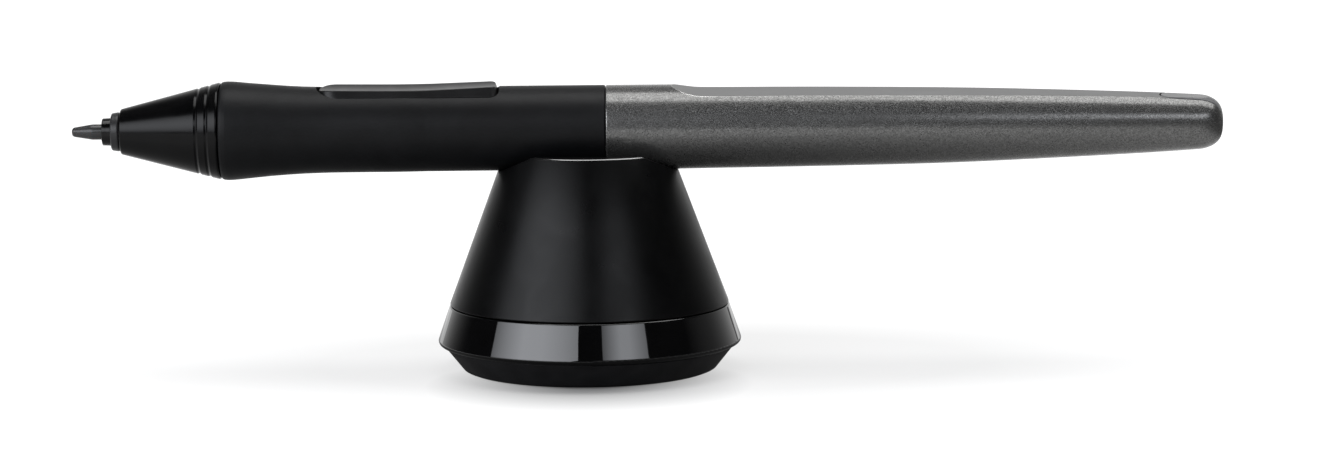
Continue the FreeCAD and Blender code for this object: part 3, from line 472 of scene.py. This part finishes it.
@dataclass(frozen=True)
class FlakePaint:
    """Gunmetal paint with fine metal flakes under a satin skin, and a painted highlight along its edges.
    """

    name: str
    dark: Colour
    light: Colour
    roughness: float
    facet: Facet
    flake: float = 0.11 * MM
    depth: float = 0.35
    metallic: float = 0.85
    edge: float = 0.1 * MM
    smudge_size: float = 9 * MM
    # Brightness of the painted edge highlight, times the light flake colour.
    painted_edge_highlight: float = 5.0

    def make(self, effects: Effects) -> bpy.types.Material:
        """Build the finish's material.

        Args:
            effects: The shared effects.

        Returns:
            The material.
        """
        material, wire, shader = start_material(self.name)
        flake = effects.place(wire, SharedEffect.FLAKE, self.flake)
        edge = effects.place(wire, SharedEffect.EDGE, self.edge)
        smudge = effects.place(wire, SharedEffect.SMUDGE, self.smudge_size).outputs["Mask"]
        glint = flake.outputs["Glint"]
        share = wire.sum(wire.times(glint, 0.65), wire.times(flake.outputs["Cloud"], 0.35))
        flat = self.facet.mask(wire)
        body = wire.blend(share, scaled(self.dark, 1.0), scaled(self.light, 1.0))
        body = wire.blend(flat, body, scaled(self.facet.shade, 1.0))
        plain = wire.add("NewGeometry").outputs["Normal"]
        soft = edge.outputs["Normal"]
        arris = wire.ramp(wire.math("SUBTRACT", 1.0, wire.dot(soft, plain)), 0.0006, 0.004)
        # Painted highlight: the edges are lightened where light would catch them, most round the front of
        # the flat.
        painted_edge_highlight = wire.times(arris, self.facet.painted_highlight_share(wire))
        body = wire.blend(painted_edge_highlight, body, scaled(self.light, self.painted_edge_highlight))
        wire.join(body, shader.inputs["Base Color"])
        loose = wire.times(glint, wire.math("SUBTRACT", 1.0, flat))
        calm = wire.times(flat, self.facet.roughness - self.roughness)
        gloss = wire.sum(wire.times(loose, -0.1), wire.times(smudge, -0.03), calm, self.roughness)
        wire.join(gloss, shader.inputs["Roughness"])
        wire.join(wire.bump(self.depth, self.flake * 0.3, loose, soft), shader.inputs["Normal"])
        shader.inputs["Metallic"].default_value = self.metallic
        return material


@dataclass(frozen=True)
class TurnedMetal:
    """Metal with fine turning lines about an upright axis."""

    name: str
    colour: Colour
    roughness: float
    pitch: float = 0.12 * MM
    depth: float = 0.2
    edge: float = 0.08 * MM
    smudge_size: float = 4 * MM

    def make(self, effects: Effects) -> bpy.types.Material:
        """Build the finish's material.

        Args:
            effects: The shared effects.

        Returns:
            The material.
        """
        material, wire, shader = start_material(self.name)
        inputs = {"Vector": wire.place(), "Scale": 1.0 / (20 * self.pitch), "Distortion": 1.5}
        waves = wire.add("TexWave", inputs, wave_type="RINGS", rings_direction="Z").outputs[1]
        edge = effects.place(wire, SharedEffect.EDGE, self.edge)
        smudge = effects.place(wire, SharedEffect.SMUDGE, self.smudge_size).outputs["Mask"]
        body = wire.blend(smudge, scaled(self.colour, 1.0), scaled(self.colour, 0.72))
        body = wire.blend(edge.outputs["Mask"], body, scaled(self.colour, 1.3))
        wire.join(body, shader.inputs["Base Color"])
        wire.join(wire.sum(wire.times(smudge, 0.12), self.roughness), shader.inputs["Roughness"])
        normal = wire.bump(self.depth, self.pitch * 0.2, waves, edge.outputs["Normal"])
        wire.join(normal, shader.inputs["Normal"])
        shader.inputs["Metallic"].default_value = 1.0
        return material


CONE_BLACK = Moulding(
    "cone_black", (0.0006, 0.00062, 0.0007), 0.33, depth=0.1, specular=0.12,
    polish=Polish(31.05 * MM, 31.2 * MM, 10.0 * MM, 2.1), crown=Crown(22 * MM, 15.6),
)
RING_BLACK = Moulding("ring_black", (0.0008, 0.0008, 0.0009), 0.04, depth=0.0, smudge=0.02)
BASE_BLACK = Moulding("base_black", (0.006, 0.006, 0.0065), 0.45, specular=0.14)
SOCKET_BLACK = Moulding("socket_black", (0.001, 0.001, 0.0011), 0.45, specular=0.15)
FOOT_RUBBER = Moulding("foot_rubber", (0.02, 0.02, 0.02), 0.85, grain=0.3 * MM, depth=0.4)
SEAL_RUBBER = Moulding("seal_rubber", (0.006, 0.006, 0.006), 0.6, specular=0.2)
RACK_GREY = Moulding("rack_grey", (0.02, 0.02, 0.021), 0.45, dust=0.3)
NIB_GREY = Moulding("nib_grey", (0.016, 0.016, 0.016), 0.25, depth=0.05, subsurface=0.1, specular=0.3)
BEAD_GREY = Moulding("bead_grey", (0.009, 0.009, 0.0095), 0.34, depth=0.05, specular=0.25)
COLLAR_BLACK = Moulding("collar_black", (0.001, 0.001, 0.0011), 0.2, depth=0.05, specular=0.2)
NOSE_BLACK = Moulding("nose_black", (0.0008, 0.0008, 0.0009), 0.2, depth=0.04, specular=0.13)
TUBE_GREY = Moulding("tube_grey", (0.05, 0.05, 0.05), 0.5)
GRIP_RUBBER = Moulding("grip_rubber", (0.0018, 0.0019, 0.0022), 0.47, depth=0.2, specular=0.13)
ROCKER_GREY = Moulding("rocker_grey", (0.004, 0.004, 0.0042), 0.34, depth=0.12, specular=0.2)
FRAME_GREY = Moulding("frame_grey", (0.05, 0.05, 0.052), 0.5)
CARRIER_WHITE = Moulding("carrier_white", (0.6, 0.58, 0.55), 0.45, subsurface=0.1)
FERRITE_GREY = Moulding("ferrite_grey", (0.04, 0.038, 0.036), 0.55, depth=0.5)
BOARD_GREEN = Moulding("board_green", (0.01, 0.07, 0.03), 0.35, grain=0.5 * MM)
CHIP_BLACK = Moulding("chip_black", (0.015, 0.015, 0.016), 0.5)
SWITCH_CASE = Moulding("switch_case", (0.08, 0.08, 0.085), 0.4)
FOAM_GREY = Moulding("foam_grey", (0.05, 0.05, 0.052), 0.95, grain=0.4 * MM, depth=0.9)
BARREL_PAINT = FlakePaint(
    "barrel_paint", (0.05, 0.05, 0.049), (0.165, 0.164, 0.161), 0.29,
    facet=Facet(11.95 * MM, 6.5, (0.16, 0.16, 0.16), 0.4),
)
INLAY_GREY = Moulding("inlay_grey", (0.06, 0.06, 0.061), 0.3, depth=0.05, specular=0.5)
ZINC_STEEL = TurnedMetal("zinc_steel", (0.5, 0.5, 0.5), 0.35)
BRIGHT_STEEL = TurnedMetal("bright_steel", (0.62, 0.61, 0.6), 0.22)
SOLDER_TIN = TurnedMetal("solder_tin", (0.66, 0.66, 0.65), 0.3, pitch=0.05 * MM)
COPPER = TurnedMetal("copper", (0.72, 0.32, 0.16), 0.3, pitch=0.1 * MM)


class Workshop:
    """Adds pieces to the scene and gives them and the carried-over nodes their finishes."""

    def __init__(self) -> None:
        """Start with the shared effects and no materials."""
        self.effects = Effects()
        self.materials: dict[str, bpy.types.Material] = {}

    def material(self, finish: Finish) -> bpy.types.Material:
        """The finish's material, built the first time that it is asked for."""
        if finish.name not in self.materials:
            self.materials[finish.name] = finish.make(self.effects)
        return self.materials[finish.name]

    def dress(self, finishes: dict[str, Finish]) -> None:
        """Give carried-over nodes their finishes.

        Args:
            finishes: The finish of each node by its name.
        """
        for node, finish in finishes.items():
            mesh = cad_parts[node].data
            mesh.materials.clear()
            mesh.materials.append(self.material(finish))
            LOG.info("%s: %s", node, finish.name)

    def add(
        self, name: str, shape: bmesh.types.BMesh, body: Body, slot: str, finish: Finish,
        replaces: Iterable[str] = (),
    ) -> bpy.types.Object:
        """Turn a finished shape into a piece of the object.

        Args:
            name: The piece's name.
            shape: Its shape, which is freed here.
            body: The body that it rides on.
            slot: The record's material slot for it; not used.
            finish: Its finish.
            replaces: Nodes that it stands for.

        Returns:
            The piece's object.
        """
        bmesh.ops.remove_doubles(shape, verts=shape.verts, dist=WELD_DISTANCE)
        bmesh.ops.recalc_face_normals(shape, faces=shape.faces)
        for face in shape.faces:
            face.smooth = True
        for edge in shape.edges:
            edge.smooth = edge.calc_face_angle(0.0) < CREASE_ANGLE
        mesh = bpy.data.meshes.new(name)
        shape.to_mesh(mesh)
        shape.free()
        mesh.materials.append(self.material(finish))
        piece = bpy.data.objects.new(name, mesh)
        bpy.context.scene.collection.objects.link(piece)
        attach(piece, body.value)
        for node in replaces:
            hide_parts(node)
        LOG.info("%s: %d faces, %s", name, len(mesh.polygons), finish.name)
        return piece


def outline(shape: bmesh.types.BMesh, points: Points) -> list:
    """Closed outline in the XZ plane.

    Args:
        shape: The bmesh that the outline goes into.
        points: Its corners as (x, z).

    Returns:
        Its vertices and edges.
    """
    corners = [shape.verts.new((x, 0.0, z)) for x, z in points]
    edges = [shape.edges.new(pair) for pair in zip(corners, corners[1:] + corners[:1])]
    return corners + edges


def turned(points: Points, axis: Vector, steps: int = 128) -> bmesh.types.BMesh:
    """Solid turned about an axis through the origin from an outline in the XZ plane.

    Args:
        points: The outline's corners as (x, z), none on the axis.
        axis: The axis.
        steps: Number of steps in the full turn.

    Returns:
        The new bmesh.
    """
    shape = bmesh.new()
    loop = outline(shape, points)
    bmesh.ops.spin(shape, geom=loop, cent=(0, 0, 0), axis=axis, angle=TURN, steps=steps, use_merge=True)
    return shape


@dataclass(frozen=True)
class LyingPen:
    """Where the pen lies in the saddle."""

    tip: float = -73.07 * MM
    height: float = 34.58 * MM
    roll: float = 6.5

    def lay(self, shape: bmesh.types.BMesh) -> bmesh.types.BMesh:
        """Move a shape from the pen's own frame to where the pen lies."""
        turn = Matrix.Rotation(math.radians(self.roll), 4, "X")
        lie = Matrix.Translation((self.tip, 0.0, self.height)) @ turn
        bmesh.ops.transform(shape, matrix=lie, verts=shape.verts)
        return shape


@dataclass(frozen=True)
class Stand:
    """Cone cover, pen socket, gloss ring and weighted base with its foot pad."""

    pad_hole: float = 5.2 * MM
    pad_radius: float = 16.5 * MM
    pad_thick: float = 0.8 * MM
    pad_bevel: float = 0.15 * MM
    pad_round: float = 0.3 * MM
    groove_first: float = 7.4 * MM
    groove_pitch: float = 2.2 * MM
    groove_count: int = 4
    groove_half: float = 0.3 * MM
    groove_depth: float = 0.3 * MM

    def foot_pad(self) -> bmesh.types.BMesh:
        """Rubber foot pad with grip grooves round its underside."""
        inner = self.pad_hole
        outer = self.pad_radius
        bevel = self.pad_bevel
        foot = self.groove_half * 0.6
        points = [(inner, self.pad_thick), (inner, bevel), (inner + bevel, 0.0)]
        for index in range(self.groove_count):
            middle = self.groove_first + index * self.groove_pitch
            points += [
                (middle - self.groove_half, 0.0),
                (middle - foot, self.groove_depth),
                (middle + foot, self.groove_depth),
                (middle + self.groove_half, 0.0),
            ]
        soft = self.pad_round
        points += [
            (outer - soft, 0.0),
            (outer - 0.08 * MM, 0.09 * MM),
            (outer, soft),
            (outer, self.pad_thick),
        ]
        return turned(points, UP, 160)

    def build(self, shop: Workshop) -> None:
        """Add the foot pad and dress the stand's nodes."""
        shop.add("grooved_foot_pad", self.foot_pad(), Body.BASE, "pad_rubber", FOOT_RUBBER, ["base_pad"])
        shop.dress({
            "cone_cover": CONE_BLACK,
            "pen_socket": SOCKET_BLACK,
            "gloss_ring": RING_BLACK,
            "base_cup": BASE_BLACK,
            "friction_ring": SEAL_RUBBER,
            "weight_plate": ZINC_STEEL,
            "nib_extractor": BRIGHT_STEEL,
            "base_pad": FOOT_RUBBER,
        })


@dataclass(frozen=True)
class NibStore:
    """Rack with nine spare nibs, screwed down over the steel weight."""

    circle: float = 11.0 * MM
    count: int = 9
    first: float = 20.0
    top: float = 9.0 * MM
    collar_inner: float = 1.22 * MM
    collar_outer: float = 1.7 * MM
    collar_height: float = 0.28 * MM
    collar_sink: float = 0.02 * MM
    collar_round: float = 0.1 * MM

    def nib_collars(self) -> bmesh.types.BMesh:
        """Rounded collar round the hole of each spare nib."""
        low = self.top - self.collar_sink
        high = self.top + self.collar_height
        soft = self.collar_round
        whole = bmesh.new()
        for index in range(self.count):
            collar = turned([
                (self.collar_inner, low),
                (self.collar_inner, high - soft),
                (self.collar_inner + soft, high),
                (self.collar_outer - soft, high),
                (self.collar_outer, low),
            ], UP, 40)
            angle = math.radians(self.first + index * 360 / self.count)
            spot = Vector((self.circle * math.cos(angle), self.circle * math.sin(angle), 0.0))
            bmesh.ops.translate(collar, verts=collar.verts, vec=spot)
            part = bpy.data.meshes.new("collar")
            collar.to_mesh(part)
            collar.free()
            whole.from_mesh(part)
            bpy.data.meshes.remove(part)
        return whole

    def build(self, shop: Workshop) -> None:
        """Add the collars and dress the store's nodes."""
        shop.add("nib_collars", self.nib_collars(), Body.BASE, "rack_plastic", RACK_GREY)
        shop.dress({"nib_rack": RACK_GREY, "rack_screws": BRIGHT_STEEL, "spare_nibs": NIB_GREY})


@dataclass(frozen=True)
class PenNose:
    """Nib, its collar and bead, the nose cone, and the coil and sensor inside it."""

    pen: LyingPen = LyingPen()
    coil_front: float = 9.95 * MM
    coil_back: float = 15.0 * MM
    coil_bore: float = 1.87 * MM
    wire_radius: float = 0.1 * MM
    layer_radii: tuple[float, float] = (2.06 * MM, 2.28 * MM)
    turn_steps: int = 24
    former_gap: float = 0.05 * MM

    def coil_turns(self) -> bmesh.types.BMesh:
        """Two layers of real turns of enamelled wire over a thin former."""
        former = self.layer_radii[0] - self.former_gap
        whole = turned([
            (self.coil_front, self.coil_bore),
            (self.coil_front, former),
            (self.coil_back, former),
            (self.coil_back, self.coil_bore),
        ], Vector((1, 0, 0)), 64)
        pitch = 2.05 * self.wire_radius
        for layer, radius in enumerate(self.layer_radii):
            inset = (1 + 3 * layer) * self.wire_radius
            start = self.coil_front + inset
            turns = int((self.coil_back - self.coil_front - 2 * inset) / pitch)
            ring = bmesh.ops.create_circle(whole, cap_ends=False, segments=8, radius=self.wire_radius)
            bmesh.ops.rotate(whole, verts=ring["verts"], matrix=Matrix.Rotation(math.pi / 2, 3, "X"))
            bmesh.ops.translate(whole, verts=ring["verts"], vec=(start, 0.0, radius))
            edges = list({edge for vert in ring["verts"] for edge in vert.link_edges})
            steps = turns * self.turn_steps
            bmesh.ops.spin(
                whole, geom=ring["verts"] + edges, cent=(0, 0, 0), axis=(1, 0, 0),
                dvec=(pitch / self.turn_steps, 0, 0), angle=turns * TURN, steps=steps,
            )
        open_edges = [edge for edge in whole.edges if edge.is_boundary]
        bmesh.ops.holes_fill(whole, edges=open_edges, sides=0)
        return self.pen.lay(whole)

    def build(self, shop: Workshop) -> None:
        """Add the coil's turns and dress the nose's nodes."""
        shop.add("coil_turns", self.coil_turns(), Body.PEN, "copper_wire", COPPER, ["coil_winding"])
        shop.dress({
            "nib": NIB_GREY,
            "nib_guide": COLLAR_BLACK,
            "nose_ring": BEAD_GREY,
            "nose_cone": NOSE_BLACK,
            "ferrite_core": FERRITE_GREY,
            "coil_winding": COPPER,
            "nib_carrier": CARRIER_WHITE,
            "pressure_sensor": SWITCH_CASE,
        })


@dataclass(frozen=True)
class PenGrip:
    """Inner tube, soft sleeve and side switch."""

    def build(self, shop: Workshop) -> None:
        """Dress the grip's nodes."""
        shop.dress({
            "front_barrel": TUBE_GREY,
            "grip_sleeve": GRIP_RUBBER,
            "rocker_button": ROCKER_GREY,
            "rocker_pin": BRIGHT_STEEL,
        })


@dataclass(frozen=True)
class ChipLegs:
    """One chip's place along the board, its half width, its height and its legs on each side."""

    middle: float
    half: float
    tall: float
    count: int


@dataclass(frozen=True)
class Electronics:
    """Board with its chips and switches, in the cradle."""

    pen: LyingPen = LyingPen()
    board_top: float = 1.0 * MM
    chips: tuple[ChipLegs, ...] = (
        ChipLegs(34.754 * MM, 1.4 * MM, 0.8 * MM, 5),
        ChipLegs(58.686 * MM, 1.0 * MM, 0.7 * MM, 3),
        ChipLegs(63.819 * MM, 1.8 * MM, 0.9 * MM, 7),
    )
    switches: tuple[float, float] = (41.0 * MM, 54.0 * MM)
    leg_wide: float = 0.22 * MM
    leg_thick: float = 0.1 * MM
    leg_foot: float = 0.35 * MM
    leg_drop: float = 0.2 * MM
    leg_lean: float = 0.05 * MM
    joint_radius: float = 0.42 * MM
    joint_along: float = 1.1 * MM
    joint_across: float = 1.75 * MM
    joint_lift: float = 0.05 * MM

    def chip_legs(self) -> bmesh.types.BMesh:
        """Bent legs down both sides of each chip."""
        whole = bmesh.new()
        for chip in self.chips:
            pitch = 2 * chip.half / chip.count
            shoulder = self.board_top + chip.tall * 0.5
            for index in range(chip.count):
                start = chip.middle - chip.half + (index + 0.5) * pitch - self.leg_wide / 2
                for side in (-1, 1):
                    self.bend_leg(whole, start, side, chip.half, shoulder)
        return self.pen.lay(whole)

    def bend_leg(
        self, whole: bmesh.types.BMesh, start: float, side: int, half: float, shoulder: float
    ) -> None:
        """One leg, drawn as a bent strip and given its width.

        Args:
            whole: The bmesh that it goes into.
            start: Its place along the board.
            side: The side of the chip, -1 or 1.
            half: The chip's half width.
            shoulder: The height where it leaves the chip.
        """
        thick = self.leg_thick
        foot = self.board_top
        knee = half + self.leg_drop
        heel = knee + self.leg_lean
        toe = knee + self.leg_foot
        path = [
            (half, shoulder),
            (half, shoulder + thick),
            (knee + thick, shoulder + thick),
            (heel + thick, foot + thick),
            (toe, foot + thick),
            (toe, foot),
            (heel, foot),
            (knee, shoulder),
        ]
        corners = [whole.verts.new((start, side * y, z)) for y, z in path]
        face = whole.faces.new(corners)
        grown = bmesh.ops.extrude_face_region(whole, geom=[face])["geom"]
        moved = [part for part in grown if isinstance(part, bmesh.types.BMVert)]
        bmesh.ops.translate(whole, verts=moved, vec=(self.leg_wide, 0, 0))

    def solder_joints(self) -> bmesh.types.BMesh:
        """Domes of solder over the switches' feet."""
        whole = bmesh.new()
        for station in self.switches:
            for along in (-self.joint_along, self.joint_along):
                for across in (-self.joint_across, self.joint_across):
                    dome = bmesh.ops.create_uvsphere(
                        whole, u_segments=16, v_segments=10, radius=self.joint_radius
                    )["verts"]
                    bmesh.ops.scale(whole, verts=dome, vec=(1.0, 0.8, 0.9))
                    spot = (station + along, across, self.board_top + self.joint_lift)
                    bmesh.ops.translate(whole, verts=dome, vec=spot)
        everything = whole.verts[:] + whole.edges[:] + whole.faces[:]
        bmesh.ops.bisect_plane(
            whole, geom=everything, plane_co=(0, 0, self.board_top), plane_no=(0, 0, 1), clear_inner=True
        )
        open_edges = [edge for edge in whole.edges if edge.is_boundary]
        bmesh.ops.holes_fill(whole, edges=open_edges, sides=0)
        return self.pen.lay(whole)

    def build(self, shop: Workshop) -> None:
        """Add the legs and the solder, and dress the electronics' nodes."""
        shop.add("chip_legs", self.chip_legs(), Body.PEN, "screw_steel", SOLDER_TIN)
        shop.add("solder_joints", self.solder_joints(), Body.PEN, "screw_steel", SOLDER_TIN)
        shop.dress({
            "chassis": FRAME_GREY,
            "circuit_board": BOARD_GREEN,
            "board_components": CHIP_BLACK,
            "front_switch": SWITCH_CASE,
            "rear_switch": SWITCH_CASE,
            "foam_damper": FOAM_GREY,
        })


@dataclass(frozen=True)
class PenBarrel:
    """Painted rear barrel with the inlay in its tail."""

    def build(self, shop: Workshop) -> None:
        """Dress the barrel's nodes."""
        shop.dress({"rear_barrel": BARREL_PAINT, "tail_inlay": INLAY_GREY})


@dataclass(frozen=True)
class Window:
    """Soft rectangular light in front of the object, by its bearings and heights in degrees."""

    name: str
    left: float
    right: float
    low: float
    high: float
    strength: float
    distance: float = 1.0
    left_fade: float = 0.3
    right_fade: float = 0.7
    lift_fade: float = 0.3
    colour: Colour = (0.965, 0.99, 1.045)

    def build(self) -> bpy.types.Object:
        """Make the light.

        Returns:
            The light's object.
        """
        bearing = math.radians(self.left + self.right) / 2
        rise = math.radians(self.low + self.high) / 2
        half_width = math.tan(math.radians(self.right - self.left) / 2)
        half_height = math.tan(math.radians(self.high - self.low) / 2)
        light = bpy.data.lights.new(self.name, "AREA")
        light.shape = "RECTANGLE"
        light.size = 2 * self.distance * half_width * math.cos(rise)
        light.size_y = 2 * self.distance * half_height
        light.energy = self.strength * math.pi * light.size * light.size_y
        light.color = self.colour
        light.use_nodes = True
        wire = Wiring(light.node_tree)
        across, up, _ = wire.parts(wire.add("NewGeometry").outputs["Parametric"])
        left = wire.ramp(across, 0.0, 0.4, self.left_fade)
        right = wire.ramp(across, 0.6, 1.0, 1.0, self.right_fade)
        off = wire.math("POWER", wire.math("ABSOLUTE", wire.math("SUBTRACT", up, 0.5)), 2.0)
        lift = wire.ramp(off, 0.0, 0.25, 1.0, self.lift_fade)
        shape = wire.times(left, right, lift)
        wire.join(shape, light.node_tree.nodes["Emission"].inputs["Strength"])
        level = math.cos(rise)
        towards = Vector((math.sin(bearing) * level, -math.cos(bearing) * level, math.sin(rise)))
        lamp = bpy.data.objects.new(self.name, light)
        lamp.location = towards * self.distance
        lamp.rotation_mode = "QUATERNION"
        lamp.rotation_quaternion = towards.to_track_quat("Z", "Y")
        bpy.context.scene.collection.objects.link(lamp)
        return lamp


@dataclass(frozen=True)
class Floor:
    """Large pale disc under the stand, which glows a little wherever the object leaves it clear: its glow
    holds a painted contact shadow round the foot and a painted soft shadow under the pen.
    """

    radius: float = 6.0
    shade: float = 0.15
    roughness: float = 0.7
    # Painted contact shadow: the glow is least round this middle, in front of the foot.
    contact_shadow_middle: Colour = (0.0, -14 * MM, 0.0)
    contact_shadow_span: tuple[float, float] = (4 * MM, 23 * MM)
    contact_shadow_glow: tuple[float, float] = (0.1, 0.685)
    # Painted soft shadow of the pen: less glow inside this ellipse.
    pen_shadow_middle: Colour = (8.6 * MM, 5 * MM, 0.0)
    pen_shadow_half: tuple[float, float] = (83 * MM, 44 * MM)
    pen_shadow_span: tuple[float, float] = (0.58, 1.28)
    pen_shadow_glow: float = 0.25
    far_span: tuple[float, float] = (0.3, 0.8)
    far_glow: float = 0.3
    # Painted shade in reflections: gloss sees the floor dark near the stand and to the right.
    reflection_shade_near_span: tuple[float, float] = (0.03, 0.12)
    reflection_shade_right_span: tuple[float, float] = (0.095, 0.15)
    reflection_shade: float = 0.85

    @staticmethod
    def far_from(
        wire: Wiring, place: bpy.types.NodeSocket, middle: Colour, rate: Colour
    ) -> bpy.types.NodeSocket:
        """Distance from a middle, each direction times its own rate."""
        off = wire.add("VectorMath", {0: place, 1: middle}, operation="SUBTRACT").outputs[0]
        return wire.length(wire.add("VectorMath", {0: off, 1: rate}, operation="MULTIPLY").outputs[0])

    def material(self) -> bpy.types.Material:
        """Pale finish that glows away from the foot, with a painted contact shadow there and a painted
        soft shadow under the pen, and with painted shade, darker, where only gloss shows it.
        """
        material, wire, shader = start_material("pale_floor")
        place = wire.place()
        away = wire.length(place)
        # Distance from the middle of the painted contact shadow.
        clear = self.far_from(wire, place, self.contact_shadow_middle, (1.0, 1.0, 1.0))
        rate = (1 / self.pen_shadow_half[0], 1 / self.pen_shadow_half[1], 1.0)
        shaded = self.far_from(wire, place, self.pen_shadow_middle, rate)
        gloss = wire.add("LightPath").outputs["Is Glossy Ray"]
        # Painted shade for gloss rays: base colour and glow go black near the stand and to the right.
        under = wire.ramp(away, *self.reflection_shade_near_span, self.reflection_shade, 0.0)
        right = wire.ramp(wire.parts(place)[0], *self.reflection_shade_right_span, 0.0, self.reflection_shade)
        reflected_floor_shade = wire.times(gloss, wire.math("MAXIMUM", under, right))
        shade = (self.shade, self.shade, self.shade, 1.0)
        wire.join(wire.blend(reflected_floor_shade, shade, BLACK), shader.inputs["Base Color"])
        shader.inputs["Roughness"].default_value = self.roughness
        shader.inputs["Specular IOR Level"].default_value = 0.0
        # Glow with painted shadows: least round the foot and inside the pen's ellipse, most far away.
        glow = wire.sum(
            wire.ramp(clear, *self.contact_shadow_span, *self.contact_shadow_glow),
            wire.ramp(shaded, *self.pen_shadow_span, 0.0, self.pen_shadow_glow),
            wire.ramp(away, *self.far_span, 0.0, self.far_glow),
        )
        wire.join(wire.grey(wire.math("SUBTRACT", 1.0, reflected_floor_shade)), shader.inputs["Emission Color"])
        wire.join(glow, shader.inputs["Emission Strength"])
        return material

    def build(self) -> bpy.types.Object:
        """Make the floor.

        Returns:
            The floor's object.
        """
        disc = bmesh.new()
        bmesh.ops.create_circle(disc, cap_ends=True, segments=128, radius=self.radius)
        mesh = bpy.data.meshes.new("floor")
        disc.to_mesh(mesh)
        disc.free()
        mesh.materials.append(self.material())
        floor = bpy.data.objects.new("floor", mesh)
        bpy.context.scene.collection.objects.link(floor)
        return floor


@dataclass(frozen=True)
class Studio:
    """Pale floor, soft lights and the white surround."""

    floor: Floor = Floor()
    windows: tuple[Window, ...] = (
        Window("left_window", -82.0, -11.0, 5.0, 44.0, 6.6),
        Window("right_window", 11.0, 48.0, 20.0, 36.0, 5.0, right_fade=0.5),
    )
    overhead_size: tuple[float, float] = (1.24, 0.5)
    overhead_place: tuple[float, float, float] = (0.28, 0.09, 0.85)
    overhead_strength: float = 4.6
    back_glow: float = 1.1
    right_glow: float = 0.2
    front_glow: float = 0.02
    fill: float = 0.55

    def make_overhead(self) -> bpy.types.Object:
        """Long soft light above the pen."""
        light = bpy.data.lights.new("overhead", "AREA")
        light.shape = "RECTANGLE"
        light.size, light.size_y = self.overhead_size
        light.energy = self.overhead_strength * math.pi * light.size * light.size_y
        lamp = bpy.data.objects.new("overhead", light)
        lamp.location = self.overhead_place
        bpy.context.scene.collection.objects.link(lamp)
        return lamp

    def make_surround(self) -> None:
        """White behind the object, dark in front of it where only gloss would show it."""
        world = bpy.data.worlds.new("surround")
        world.use_nodes = True
        bpy.context.scene.world = world
        wire = Wiring(world.node_tree)
        path = wire.add("LightPath")
        x, y, _ = wire.parts(wire.add("TexCoord").outputs["Generated"])
        back = wire.math("POWER", wire.ramp(y, 0.3, 1.0), 2.0)
        right = wire.ramp(wire.sum(x, wire.times(y, 0.5)), 0.9, 1.1, 0.0, self.right_glow)
        gloss = wire.grey(wire.sum(wire.times(back, self.back_glow), right, self.front_glow))
        fill = (self.fill, self.fill, self.fill, 1.0)
        colour = wire.blend(path.outputs["Is Glossy Ray"], fill, gloss)
        colour = wire.blend(path.outputs["Is Camera Ray"], colour, WHITE)
        wire.join(colour, world.node_tree.nodes["Background"].inputs["Color"])

    def build(self) -> None:
        """Make the floor, the lights and the surround."""
        self.floor.build()
        for window in self.windows:
            window.build()
        self.make_overhead()
        self.make_surround()


@dataclass(frozen=True)
class StudioCamera:
    """Camera at the photograph's viewing angle."""

    across: float = 10.06 * MM
    back: float = 600 * MM
    height: float = 100 * MM
    aim_height: float = 19.8 * MM
    lens: float = 116.2
    roll: float = 0.55

    def build(self) -> bpy.types.Object:
        """Make the camera and use it for the scene."""
        data = bpy.data.cameras.new("camera")
        data.lens = self.lens
        data.clip_start = 0.01
        data.clip_end = 50.0
        camera = bpy.data.objects.new("camera", data)
        place = Vector((self.across, -self.back, self.height))
        aim = Vector((self.across, 0.0, self.aim_height))
        turn = (aim - place).to_track_quat("-Z", "Y").to_matrix().to_4x4()
        roll = Matrix.Rotation(math.radians(-self.roll), 4, "Z")
        camera.matrix_world = Matrix.Translation(place) @ turn @ roll
        bpy.context.scene.collection.objects.link(camera)
        bpy.context.scene.camera = camera
        return camera


def main() -> None:
    """Build and dress everything, in order."""
    logging.basicConfig(level=logging.INFO, format="%(message)s")
    bpy.context.scene.view_settings.view_transform = "Standard"
    shop = Workshop()
    for assembly in (Stand(), NibStore(), PenNose(), PenGrip(), Electronics(), PenBarrel()):
        assembly.build(shop)
        LOG.info("%s is ready", type(assembly).__name__)
    Studio().build()
    StudioCamera().build()


if __name__ == "__main__":
    main()
